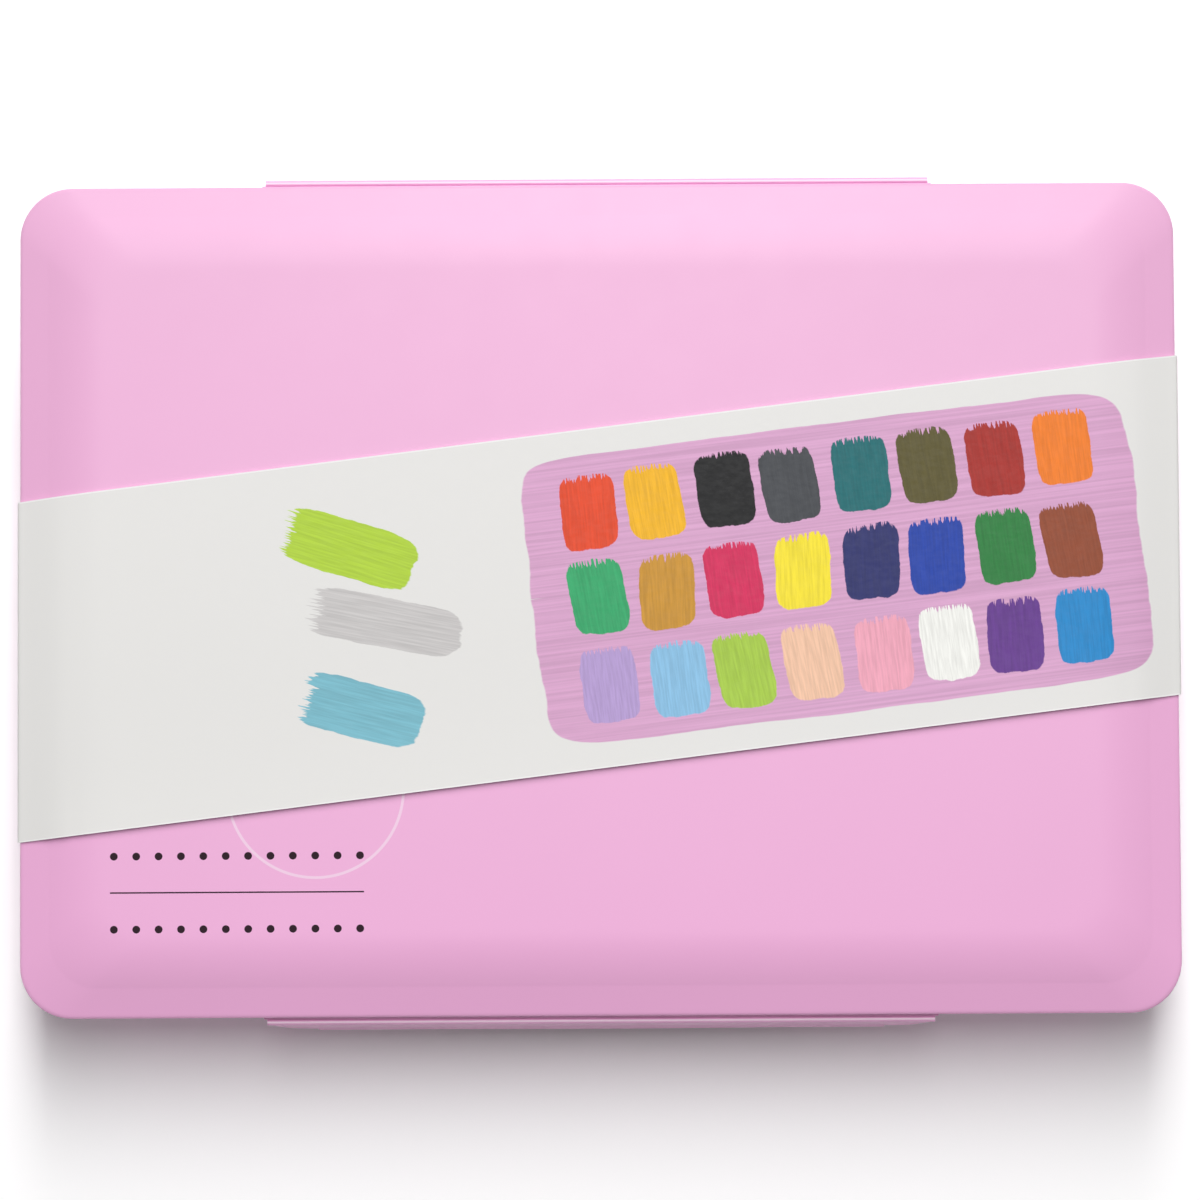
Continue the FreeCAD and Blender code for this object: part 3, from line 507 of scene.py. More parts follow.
def make_dot_row():
    """A row of round dots in the XY plane: the mask is 1 on the dots."""
    net = Effect(
        "Dot row", ("Mask",), Vector=None, First_X=0.0, Row_Y=0.0, Pitch=0.01, Count=10.0, Radius=0.002)
    given = net.given
    x, y, _ = net.axes(given["Vector"])
    steps = (x - given["First X"]) / given["Pitch"]
    nearest = net.maths("MAXIMUM", net.maths("ROUND", steps), 0.0)
    nearest = net.maths("MINIMUM", nearest, given["Count"] - 1.0)
    away = net.distance((steps - nearest) * given["Pitch"], y - given["Row Y"])
    net.give(Mask=(given["Radius"] - away).ramp(-DOT_SOFTNESS, DOT_SOFTNESS))


def make_scuffs():
    """A few faint rubbed marks, about as large as a grain of rice, scattered over a surface."""
    net = Effect("Scuffs", ("Mask",), Vector=None, Spread=24.0, Reach=0.05)
    given = net.given
    wander = net.add("ShaderNodeTexNoise", "Color", Vector=given["Vector"], Scale=380.0, Detail=3.0)
    shift = net.add("ShaderNodeVectorMath", "Vector", {"operation": "SCALE"}, Vector=wander, Scale=2.4 * MM)
    spot = net.node("ShaderNodeVectorMath", {"operation": "ADD"}, Vector=given["Vector"])
    net.feed(spot.inputs[1], shift)
    spot = Signal(net, spot.outputs["Vector"])
    cells = net.signals(net.node("ShaderNodeTexVoronoi", Vector=spot, Scale=given["Spread"]))
    chance = net.add("ShaderNodeSeparateColor", "Red", Color=cells["Color"])
    near = cells["Distance"].ramp(0.0, given["Reach"], 1.0, 0.0)
    net.give(Mask=near * chance.ramp(0.45, 0.75, 0.0, 0.22))


def make_brush_dab():
    """One dab of a loaded brush, two units wide and long: ragged sides, streaks and a dry tail."""
    net = Effect(
        "Brush dab", ("Mask", "Streak"), Vector=None, Seed=0.0, Ragged=0.16, Dry_Tail=0.9, Squareness=5.0,
        Edge=0.03, Streaks=9.0)
    given = net.given
    x, y, _ = net.axes(given["Vector"])
    wander = net.noise(net.joined(x, y, given["Seed"]), 2.6, 4.0)
    streak = net.noise(net.joined(x * given["Streaks"], y * 0.8, given["Seed"]), 1.6, 3.0)
    power = given["Squareness"]
    reach = (abs(x) ** power + abs(y) ** power) ** net.maths("DIVIDE", 1.0, power)
    reach = reach + (wander - 0.5) * given["Ragged"]
    body = reach.ramp(net.maths("SUBTRACT", DAB_RIM, given["Edge"]), DAB_RIM, 1.0, 0.0)
    bare = y.ramp(0.25, 1.05) * given["Dry Tail"]
    net.give(Mask=body * (streak - bare).ramp(-0.36, -0.30), Streak=streak)


def make_stirred_paint():
    """Creamy paint: pigment mottling, drawn-out streaks and patches that dry duller."""
    net = Effect(
        "Stirred paint", ("Colour", "Roughness", "Height"),
        Vector=None, Colour=None, Mottle=0.2, Roughness=0.3)
    given = net.given
    swing = net.noise(given["Vector"], 170.0, 3.0, Distortion=1.2) - 0.5
    net.give(
        Colour=net.shaded(given["Colour"], swing.times_plus(given["Mottle"], 1.0)),
        Roughness=swing.times_plus(0.25, given["Roughness"]),
        Height=net.noise(given["Vector"], 900.0, 3.0))


def make_fibre():
    """Fibres drawn out along X, as in wood, brushed metal and calendered card."""
    net = Effect("Fibre", ("Fibre",), Vector=None, Fineness=500.0, Stretch=0.05)
    x, y, z = net.axes(net.given["Vector"])
    drawn = net.joined(x * net.given["Stretch"], y, z)
    net.give(Fibre=net.noise(drawn, net.given["Fineness"], 4.0))


# Finishes

PLASTIC_IOR = 1.45
# Painted highlight along the top of each flap's hinge bead, and the heights over which it fades in
FLAP_PAINTED_HIGHLIGHT = (0.92, 0.70, 0.83)
FLAP_PAINTED_HIGHLIGHT_FROM = (43.82 * MM, 43.89 * MM)


def pink_finish(name, colours):
    """A finish of satin pink moulding, still without its colour, and the outputs of its skin."""
    net = Finish(name, IOR=PLASTIC_IOR)
    skin = net.group("Moulded skin", Vector=net.place(), Colour=opaque(colours.pink), Roughness=0.42)
    net.give(Roughness=skin["Roughness"])
    net.raise_surface(skin["Height"], distance=0.05 * MM, strength=0.12)
    return net, skin


def pink_plastic(colours):
    """Satin pink moulding."""
    net, skin = pink_finish("pink_moulding", colours)
    net.give(Base_Color=skin["Colour"])


def hinged_plastic(colours):
    """Satin pink moulding with a painted highlight: pale along the top of the flap's hinge bead."""
    net, skin = pink_finish("pink_moulding_hinged", colours)
    # Painted highlight: the top of the hinge bead is mixed towards pale pink
    painted_highlight = net.axes(net.place())[2].ramp(*FLAP_PAINTED_HIGHLIGHT_FROM)
    net.give(Base_Color=net.mix(painted_highlight, skin["Colour"], opaque(FLAP_PAINTED_HIGHLIGHT)))
    return net.material


LID_DOT_ROWS = (-75.5 * MM, -97.0 * MM)
LID_DOT_FIRST = -143.5 * MM
LID_DOT_PITCH = 6.6 * MM
LID_DOT_RADIUS = 1.15 * MM
LID_DOT_COUNT = 12.0
LID_RULE_Y = -86.2 * MM
LID_RULE_HALF_HEIGHT = 0.22 * MM
LID_PRINT_FROM = LID_HIGH.z - 0.5 * MM
INK_ROUGHNESS = 0.85
SCUFF_SHADE = (0.72, 0.72, 0.72)
LID_RING_MIDDLE = (-84.0 * MM, -56.0 * MM)
LID_RING_RADIUS = 26.0 * MM
LID_RING_HALF_WIDTH = 0.42 * MM
LID_RING_PALE = (0.90, 0.62, 0.80)
# Painted shade: share by which each of red, green and blue is stronger at the shaded front edge and weaker
# at the lit rear one
LID_PAINTED_SHADE_TINT = (0.038, 0.008, 0.038)


def lid_plastic(colours):
    """Satin pink moulding with dots, a rule and a fine pale ring printed on the flat top, and painted shade
    that deepens the pink towards the front.
    """
    net, skin = pink_finish("pink_moulding_printed", colours)
    place = net.place()
    x, y, z = net.axes(place)
    half_row = LID_DOT_PITCH * (LID_DOT_COUNT - 1.0) / 2.0
    within_end = net.maths("LESS_THAN", abs(x - (LID_DOT_FIRST + half_row)), half_row + LID_DOT_RADIUS)
    printed = within_end * net.maths("LESS_THAN", abs(y - LID_RULE_Y), LID_RULE_HALF_HEIGHT)
    for row in LID_DOT_ROWS:
        dots = net.group(
            "Dot row", Vector=place, First_X=LID_DOT_FIRST, Row_Y=row, Pitch=LID_DOT_PITCH,
            Count=LID_DOT_COUNT, Radius=LID_DOT_RADIUS)
        printed = net.maths("MAXIMUM", printed, dots["Mask"])
    on_top = net.maths("GREATER_THAN", z, LID_PRINT_FROM)
    printed = printed * on_top
    # Painted shade: the pink grows deeper towards the shaded front edge and paler towards the lit rear one
    to_front = y / LID_LOW.y
    drift = net.combined(*(to_front.times_plus(share, 1.0) for share in LID_PAINTED_SHADE_TINT))
    colour = net.mix(1.0, skin["Colour"], drift, "MULTIPLY")
    scuffs = net.group("Scuffs", Vector=place)
    colour = net.mix(scuffs["Mask"], colour, opaque(colours.pink, SCUFF_SHADE))
    away = net.distance(x - LID_RING_MIDDLE[0], y - LID_RING_MIDDLE[1])
    ring = net.maths("COMPARE", away, LID_RING_RADIUS, LID_RING_HALF_WIDTH) * on_top
    colour = net.mix(ring, colour, opaque(LID_RING_PALE))
    matt = net.add(
        "ShaderNodeMapRange", "Result", Value=printed, To_Min=skin["Roughness"], To_Max=INK_ROUGHNESS)
    net.give(Base_Color=net.mix(printed, colour, opaque(colours.ink)), Roughness=matt)
    return net.material


CHART_COLUMNS = 8
CHART_ROWS = 3
CHART_PITCH = (20.2 * MM, 26.4 * MM)
CHART_START = (-10.0 * MM, -39.6 * MM)
DAB_HALF = (8.5 * MM, 11.4 * MM)
DAB_SWAY = 0.16
DAB_LEAN = 0.22
WASH = ((71.0 * MM, 0.0), math.pi / 2.0, (43.5 * MM, 92.0 * MM), (0.70, 0.38, 0.60))
# Lone dabs beside the chart: middle along and across the band, turn, half sizes, colour
LONE_DABS = (
    ((-72.0 * MM, 24.0 * MM), math.radians(66.0), (8.5 * MM, 21.0 * MM), (0.45, 0.66, 0.045)),
    ((-64.0 * MM, 1.0 * MM), math.radians(72.0), (7.5 * MM, 24.0 * MM), (0.60, 0.58, 0.575)),
    ((-74.0 * MM, -24.0 * MM), math.radians(69.0), (8.5 * MM, 19.0 * MM), (0.20, 0.50, 0.60)),
)
# White of the card's bare core at its cut edges, made whiter than the card so the rear edge shows a painted
# highlight
CUT_CORE_AND_HIGHLIGHT_WHITE = (0.90, 0.89, 0.88)
CUT_SHOWS = 0.42 * MM


def paints_in_order():
    """The paint nodes from the brush trough to the rear, each row from left to right."""
    def place(name):
        low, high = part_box(name)
        return (round((low.y + high.y) / MM), low.x)
    return sorted(PAINT_NODES, key=place)


def streaky(net, colour, streak):
    """Paint that thins along its streaks."""
    return net.shaded(colour, streak.ramp(0.25, 0.75, 0.86, 1.08))


def chart_over(net, colour, along, across):
    """Lays a chart of brush dabs, one for each paint, over a colour, in band coordinates."""
    column = (along - CHART_START[0]) / CHART_PITCH[0]
    row = (across - CHART_START[1]) / CHART_PITCH[1]
    column_cell = net.maths("FLOOR", column)
    row_cell = net.maths("FLOOR", row)
    in_columns = net.maths("COMPARE", column_cell, (CHART_COLUMNS - 1) / 2.0, CHART_COLUMNS / 2.0)
    in_rows = net.maths("COMPARE", row_cell, (CHART_ROWS - 1) / 2.0, CHART_ROWS / 2.0)
    index = row_cell.times_plus(float(CHART_COLUMNS), column_cell)
    chance = net.add("ShaderNodeTexWhiteNoise", "Color", {"noise_dimensions": "1D"}, W=index)
    sway_x, sway_y, lean = (swing - 0.5 for swing in net.axes(chance))
    x = (column - column_cell - 0.5) * (CHART_PITCH[0] / DAB_HALF[0]) + sway_x * DAB_SWAY
    y = (row - row_cell - 0.5) * (CHART_PITCH[1] / DAB_HALF[1]) + sway_y * DAB_SWAY
    spot = net.joined(y.times_plus(lean * DAB_LEAN, x), y)
    dab = net.group("Brush dab", Vector=spot, Seed=index)
    paints = paints_in_order()
    ramp = net.node("ShaderNodeValToRGB", Fac=(index + 0.5) / float(len(paints)))
    ramp.color_ramp.interpolation = "CONSTANT"
    stops = ramp.color_ramp.elements
    while len(stops) < len(paints):
        stops.new(1.0)
    for i, name in enumerate(paints):
        stops[i].position = i / len(paints)
        stops[i].color = opaque(SLOT_COLOUR[name])
    ink = streaky(net, Signal(net, ramp.outputs["Color"]), dab["Streak"])
    return net.mix(dab["Mask"] * (in_columns * in_rows), colour, ink)


def printed_card(colours, sizes):
    """Smooth coated card printed with a chart of brush dabs and three lone ones, laid along the slant."""
    net = Finish("printed_card", IOR=PLASTIC_IOR)
    slant = math.atan2(sizes.band_rise, sizes.lid_length)

    def laid(vector, turn, **frame_of_dab):
        return net.add(
            "ShaderNodeMapping", "Vector", {"vector_type": "TEXTURE"}, Vector=vector,
            Rotation=(0.0, 0.0, turn), **frame_of_dab)

    place = net.place()
    turned = laid(place, slant)

    def dab_over(colour, middle, turn, half, paint, **settings):
        spot = laid(turned, turn, Location=(*middle, 0.0), Scale=(*half, 1.0))
        dab = net.group("Brush dab", Vector=spot, **settings)
        return net.mix(dab["Mask"], colour, streaky(net, opaque(paint), dab["Streak"]))

    colour = dab_over(
        opaque(colours.card), *WASH, Seed=3.0, Ragged=0.05, Dry_Tail=0.62, Squareness=12.0, Edge=0.006,
        Streaks=34.0)
    along, across, _ = net.axes(turned)
    colour = chart_over(net, colour, along, across)
    for i, dab in enumerate(LONE_DABS):
        colour = dab_over(colour, *dab, Seed=40.0 + 7.0 * i, Ragged=0.2, Dry_Tail=1.0)
    x, y, _ = net.axes(place)
    # Both cut edges and a thin margin of the face beside them take the core's white: partly the bare core,
    # partly a painted highlight along the rear edge
    from_middle = abs(y - x.times_plus(sizes.band_rise / sizes.lid_length, sizes.band_shift))
    cut_core_and_highlight = net.maths("GREATER_THAN", from_middle, sizes.band_width / 2.0 - CUT_SHOWS)
    fibre = net.fibre(900.0, 0.5)
    net.give(
        Base_Color=net.mix(cut_core_and_highlight, colour, opaque(CUT_CORE_AND_HIGHLIGHT_WHITE)),
        Roughness=fibre.ramp(0.2, 0.8, 0.55, 0.68))
    net.raise_surface(fibre, distance=0.03 * MM, strength=0.15)
    return net.material


def clear_plastic(colours):
    """Clear moulded cups with a faint haze."""
    clear = opaque(colours.cup)
    net = Finish("clear_moulding", Base_Color=clear, IOR=1.47, Transmission_Weight=1.0)
    skin = net.group("Moulded skin", Vector=net.place(), Colour=clear, Roughness=0.07, Gloss_Drift=0.05)
    net.give(Roughness=skin["Roughness"])
    net.raise_surface(skin["Height"], distance=0.02 * MM, strength=0.05)
    return net.material


def gouache(name):
    """Creamy gouache in the colour of one paint node."""
    net = Finish("gouache_" + name.removeprefix("paint_"), IOR=1.42)
    paint = net.group(
        "Stirred paint", Vector=net.place(), Colour=opaque(SLOT_COLOUR[name]), Mottle=0.16, Roughness=0.33)
    net.give(Base_Color=paint["Colour"], Roughness=paint["Roughness"])
    net.raise_surface(paint["Height"], distance=0.12 * MM, strength=0.25)
    return net.material


LATE_WOOD = (0.80, 0.66, 0.60)
WOOD_PORE = (0.6, 0.6, 0.6)
DULL_METAL = (0.86, 0.86, 0.86)
WARM_FILAMENT = (0.93, 0.88, 0.76)


def lacquered_wood(colours):
    """Pale wood with long grain under a thin lacquer."""
    net = Finish("lacquered_wood", Coat_Weight=0.35, Coat_Roughness=0.18, IOR=1.45)
    wide = net.fibre(520.0, 0.05)
    fine = net.fibre(2200.0, 0.02)
    late = opaque(colours.wood, LATE_WOOD)
    colour = net.mix(wide.ramp(0.42, 0.70), opaque(colours.wood), late)
    net.give(
        Base_Color=net.mix(fine.ramp(0.62, 0.80, 0.0, 0.5), colour, opaque(late, WOOD_PORE)),
        Roughness=fine.ramp(0.3, 0.7, 0.34, 0.48))
    net.raise_surface(fine, distance=0.04 * MM, strength=0.2)
    return net.material


def drawn_metal(colours):
    """Nickelled ferrule with fine draw lines."""
    net = Finish("drawn_nickel", Metallic=1.0)
    lines = net.fibre(4200.0, 0.03)
    tint = net.fibre(300.0, 0.6).ramp(0.3, 0.7)
    net.give(
        Base_Color=net.mix(tint, opaque(colours.metal), opaque(colours.metal, DULL_METAL)),
        Roughness=lines.ramp(0.3, 0.7, 0.17, 0.30))
    net.raise_surface(lines, distance=0.02 * MM, strength=0.15)
    return net.material


def nylon(colours):
    """White nylon filaments, some of them a little yellower."""
    net = Finish("nylon_filament", IOR=1.53)
    strands = net.fibre(2600.0, 0.01)
    warm = opaque(colours.filament, WARM_FILAMENT)
    net.give(
        Base_Color=net.mix(strands.ramp(0.35, 0.7), opaque(colours.filament), warm),
        Roughness=strands.ramp(0.3, 0.7, 0.28, 0.42))
    return net.material


# Shapes

LID_EDGE_TOP = 46.4
BORDER = (0.9, 46.92)
CREASE = (9.0, 49.15)
FLAT_INSET = 25.0
LID_TOP = 52.0
SHOULDER_SLOPE = 0.35
SHOULDER_STEPS = 12


def shoulder_level(inset):
    """Height of the lid's shoulder, in mm: steep at the crease, level at the flat top."""
    width = FLAT_INSET - CREASE[0]
    share = (inset - CREASE[0]) / width
    rise = LID_TOP - CREASE[1]
    full = SHOULDER_SLOPE * width
    bend = rise / (full - rise)
    return CREASE[1] + full * (share - share ** (bend + 1.0) / (bend + 1.0))


def lid_level(inset):
    """Height of the lid's upper side, in mm, at an inset from its outline."""
    if inset >= FLAT_INSET:
        return LID_TOP
    if inset >= CREASE[0]:
        return shoulder_level(inset)
    share = (inset - BORDER[0]) / (CREASE[0] - BORDER[0])
    return BORDER[1] + (CREASE[1] - BORDER[1]) * share


def lid_rings():
    """The lid's section from the middle of its ceiling, over its rib, seat and edge, to its flat top."""
    inside = [
        (25.0, 49.9), (24.4, 49.8), (14.3, 47.75), (13.6, 47.2), (13.6, 40.8), (13.4, 40.55), (13.1, 40.5),
        (12.5, 40.5), (12.2, 40.55), (12.0, 40.8), (12.0, 43.7), (11.6, 44.1), (2.5, 44.1), (2.0, 43.6),
    ]
    edge = [
        (2.0, 42.4), (1.85, 42.1), (1.5, 42.0), (0.5, 42.0), (0.15, 42.1), (0.0, 42.4), (0.0, 45.8),
        (0.03, 46.15), (0.15, 46.45), (0.42, 46.72), BORDER,
    ]
    border = [(inset, lid_level(inset)) for inset in (1.4, 5.0, 8.3, 8.75)]
    width = FLAT_INSET - CREASE[0]
    steps = [0.0, 0.03, 0.07] + [i / SHOULDER_STEPS for i in range(2, SHOULDER_STEPS + 1)]
    shoulder = [(CREASE[0] + width * s, shoulder_level(CREASE[0] + width * s)) for s in steps]
    flat = [(FLAT_INSET + 1.5, LID_TOP), (FLAT_INSET + 4.0, LID_TOP)]
    return [(inset * MM, level * MM) for inset, level in inside + edge + border + shoulder + flat]


LEDGE_HALF_LENGTH = 100.0 * MM
LEDGE_LOW = 42.15 * MM
LEDGE_HIGH = 43.85 * MM
LEDGE_ROOT = 1.2 * MM
LEDGE_ROUNDING = 0.22 * MM


def hinge_ledge(name, side, lid_width):
    """The thin ledge on the lid's long edge that carries a flap's hinge bead."""
    root = lid_width / 2.0 - LEDGE_ROOT
    reach = LID_HIGH.y
    leave_edit_mode()
    bpy.ops.mesh.primitive_cube_add(
        size=1.0, location=(0.0, side * (root + reach) / 2.0, (LEDGE_LOW + LEDGE_HIGH) / 2.0))
    bpy.context.active_object.scale = (2.0 * LEDGE_HALF_LENGTH, reach - root, LEDGE_HIGH - LEDGE_LOW)
    ledge = named(name)
    edit(ledge)
    bpy.ops.mesh.bevel(offset=LEDGE_ROUNDING, offset_type="OFFSET", segments=3, profile=0.5, affect="EDGES")
    smooth(ledge)
    return ledge


CARD_FOLD = 0.9
LIP_REACH = 169.0
LID_BOTTOM = 42.0
FOLD_STEPS = 6
STAND_OFF = 0.45
STAND_OFF_REACH = 18.0


def card_stand_off(inset):
    """How far the card, in mm, bridges the lid's shoulder instead of following it."""
    share = min(1.0, max(0.0, (inset - 1.0) / STAND_OFF_REACH))
    return STAND_OFF * math.sin(math.pi * share) ** 2


def band_half_section(lid_length, gap):
    """The card's under side from the lid's middle to the tip of its right lip, in mm, as (x, z)."""
    half = lid_length / MM / 2.0
    gap = gap / MM
    points = [(x, LID_TOP + gap) for x in (0.0, 30.0, 60.0, 90.0, 115.0, 132.0, 141.0)]
    insets = [FLAT_INSET - i for i in range(0, 16, 2)] + [CREASE[0], 7.0, 5.0, 3.0, 1.9, 1.4]
    points += [(half - inset, lid_level(inset) + gap + card_stand_off(inset)) for inset in insets]
    middle_x = half + gap - CARD_FOLD
    upper = LID_EDGE_TOP + gap - 0.45
    lower = LID_BOTTOM - gap + CARD_FOLD

    def fold(level, from_degrees, to_degrees):
        for step in range(FOLD_STEPS + 1):
            angle = math.radians(from_degrees + (to_degrees - from_degrees) * step / FOLD_STEPS)
            points.append((middle_x + CARD_FOLD * math.cos(angle), level + CARD_FOLD * math.sin(angle)))

    fold(upper, 72.0, 0.0)
    points.append((half + gap, (upper + lower) / 2.0))
    fold(lower, 0.0, -90.0)
    points.append((LIP_REACH, LID_BOTTOM - gap))
    return points


BAND_ROWS = 10
CUT_ROUNDING = 0.36 * MM
# The card's front edge curls up in steps: how far to each end, how far back from the edge, how much
FRONT_LIFTS = (
    (164.0 * MM, 2.0 * MM, 0.26 * MM),
    (160.0 * MM, 2.0 * MM, 0.24 * MM),
    (154.0 * MM, 12.0 * MM, 0.18 * MM),
    (148.0 * MM, 22.0 * MM, 0.12 * MM),
)


def card_band(name, sizes):
    """The folded card: a grid whose columns are carried one by one to their places along the section."""
    right = band_half_section(sizes.lid_length, sizes.band_gap)
    stations = [(-x, z) for x, z in reversed(right[1:])] + right

    def climb(x):
        return sizes.band_shift + sizes.band_rise * x / sizes.lid_length

    leave_edit_mode()
    bpy.ops.mesh.primitive_grid_add(
        x_subdivisions=len(stations) - 1, y_subdivisions=BAND_ROWS, size=1.0)
    bpy.context.active_object.scale = (len(stations) - 1.0, sizes.band_width, 1.0)
    band = named(name)
    first = -(len(stations) - 1.0) / 2.0
    column = [round(point.co.x - first) for point in band.data.vertices]
    edit(band)
    for i, (x, z) in enumerate(stations):
        select_points(band, lambda point: column[point.index] == i)
        bpy.ops.transform.translate(value=(x * MM - (first + i), climb(x * MM), z * MM))
    for reach, past, lift in FRONT_LIFTS:
        edge = past - sizes.band_width / 2.0
        select_points(band, lambda point: abs(point.co.x) < reach and point.co.y - climb(point.co.x) < edge)
        bpy.ops.transform.translate(value=(0.0, 0.0, lift))
    bpy.ops.mesh.select_all(action="SELECT")
    bpy.ops.mesh.extrude_region_shrink_fatten(
        TRANSFORM_OT_shrink_fatten={"value": sizes.band_card, "use_even_offset": True})
    bpy.ops.mesh.region_to_loop()
    mesh = bmesh.from_edit_mesh(band.data)
    for edge in mesh.edges:
        middle = (edge.verts[0].co + edge.verts[1].co) / 2.0
        edge.select_set(edge.select and middle.y > climb(middle.x))
    bmesh.update_edit_mesh(band.data)
    bpy.ops.mesh.bevel(
        offset=CUT_ROUNDING, offset_type="OFFSET", segments=3, profile=0.5, affect="EDGES",
        clamp_overlap=True)
    make_sound(band)
    smooth(band, 40.0)
    return band


def cup_rings(floor, bottom, top):
    """A cup's section from its inner floor over its flange to its outer bottom."""
    rings = [
        (6.6, floor), (5.9, floor + 0.15), (5.45, floor + 0.7), (2.95, top - 1.0), (2.75, top - 0.45),
        (2.45, top - 0.12), (2.0, top), (0.5, top), (0.17, top - 0.1), (0.0, top - 0.35), (0.0, top - 0.6),
        (0.2, top - 0.8), (2.15, top - 0.8), (2.3, top - 1.0), (4.65, bottom + 0.6), (5.0, bottom + 0.15),
        (5.6, bottom),
    ]
    return [(inset * MM, level * MM) for inset, level in rings]


PAINT_CORNER = 3.6 * MM
PAINT_GRID = (60, 52)
PAINT_NARROWING = 0.836 * MM
PAINT_LEVELS = (0.08, 0.55, 1.0)


def onto_rounded_rectangle(u, v, half_x, half_y, corner):
    """Carries a point of the square from -1 to 1 to its place in a rounded rectangle."""
    rim = max(abs(u), abs(v))
    if rim < 1e-9:
        return 0.0, 0.0
    edge_x = abs(u) / rim * half_x
    edge_y = abs(v) / rim * half_y
    share = 1.0
    middle_x = half_x - corner
    middle_y = half_y - corner
    if edge_x > middle_x and edge_y > middle_y:
        square = edge_x ** 2 + edge_y ** 2
        dot = edge_x * middle_x + edge_y * middle_y
        rest = middle_x ** 2 + middle_y ** 2 - corner ** 2
        root = dot * dot - square * rest
        if root > 0.0:
            share = min(1.0, (dot + math.sqrt(root)) / square)
    return math.copysign(edge_x * share * rim, u), math.copysign(edge_y * share * rim, v)


def paint_body(name, half_x, half_y, surface, floor):
    """One cup's fill with a level, finely divided top, at the origin."""
    leave_edit_mode()
    bpy.ops.mesh.primitive_grid_add(
        x_subdivisions=PAINT_GRID[0], y_subdivisions=PAINT_GRID[1], size=2.0, location=(0.0, 0.0, surface))
    fill = named(name)
    for point in fill.data.vertices:
        u, v, level = point.co
        point.co = (*onto_rounded_rectangle(u, v, half_x, half_y, PAINT_CORNER), level)
    edit(fill)
    bpy.ops.mesh.region_to_loop()
    drop = floor - surface
    narrow = 1.0 - PAINT_NARROWING / half_x
    for share in PAINT_LEVELS:
        bpy.ops.mesh.extrude_edges_move(TRANSFORM_OT_translate=by(z=drop * share))
        level = surface + drop * share
        bpy.ops.transform.resize(value=(narrow, narrow, 0.0), center_override=(0.0, 0.0, level))
    bpy.ops.mesh.edge_face_add()
    make_sound(fill)
    return fill


LEVELLED_PAINTS = {
    "paint_light_blue", "paint_peach", "paint_white", "paint_grass_green", "paint_terracotta",
    "paint_golden_yellow", "paint_olive_umber",
}


WALL_REACH = 3.0 * MM
RIPPLE_SIZE = 7.0 * MM
FINE_SIZE = 2.2 * MM
PEAK_RADIUS = 2.1 * MM
MENISCUS_REACH = 1.6 * MM
MENISCUS_HEIGHT = 0.45 * MM


def paint_relief(x, y, half_x, half_y, chance, stirred, sizes):
    """How far the paint's surface stands above its level at one place."""
    side_x = (x - chance["off_x"]) / chance["oval"]
    side_y = (y - chance["off_y"]) * chance["oval"]
    radius = math.hypot(side_x, side_y)
    angle = math.atan2(side_y, side_x)
    to_wall = min(half_x - abs(x), half_y - abs(y))
    still = min(1.0, max(0.0, to_wall / WALL_REACH))
    spot = Vector((x, y, chance["seed"] * MM))
    ripple = noise.noise(spot / RIPPLE_SIZE)
    fine = noise.noise(spot / FINE_SIZE)
    relief = still * sizes.stir_height * (0.35 * ripple + 0.08 * fine)
    if stirred:
        turns = radius / (sizes.stir_pitch * chance["pitch"]) + 0.22 * ripple
        wave = math.cos(2.0 * math.pi * turns - chance["hand"] * angle + chance["turn"])
        crest = 0.5 + 0.5 * wave
        fade = max(0.0, 1.0 - (radius / (chance["reach"] * half_y)) ** 3)
        relief += sizes.stir_height * chance["height"] * fade * still * crest ** 1.2
        relief += sizes.stir_height * chance["peak"] * math.exp(-((radius / PEAK_RADIUS) ** 2))
    meniscus = max(0.0, 1.0 - to_wall / MENISCUS_REACH)
    return relief + MENISCUS_HEIGHT * meniscus ** 2


def stir(fill, surface, half_x, half_y, chance, stirred, sizes):
    """Gives a fill's top the marks that a brush or spatula left in it."""
    for point in fill.data.vertices:
        if point.co.z > surface - 0.01 * MM:
            point.co.z += paint_relief(point.co.x, point.co.y, half_x, half_y, chance, stirred, sizes)


# Brush sections: distance from the joint of handle and ferrule, radius
HANDLE_SECTION = (
    (-14.0, 2.4), (-13.8, 2.6), (-0.6, 2.65), (-0.1, 2.75), (0.05, 2.95), (1.5, 3.02), (8.0, 3.18),
    (16.0, 3.45), (25.0, 3.68), (33.0, 3.74), (42.0, 3.70), (54.0, 3.50), (70.0, 3.18), (88.0, 2.86),
    (106.0, 2.62), (122.0, 2.46), (136.0, 2.28), (144.0, 2.10), (147.6, 1.86), (149.2, 1.40),
    (149.8, 0.85), (150.0, 0.25),
)
CRIMPS = (6.0, 10.5)
CRIMP_WIDTH = 1.8
CRIMP_PROUD = 0.35
FERRULE_RADIUS = 3.1
FERRULE_LENGTH = 48.0
FERRULE_WALL = 0.28
CRIMP_STEPS = 6
FLATTEN_STEPS = 16


def handle_stations(joint):
    """Stations of a turned handle, in metres along the box."""
    return [(joint + x * MM, r * MM, r * MM) for x, r in HANDLE_SECTION]


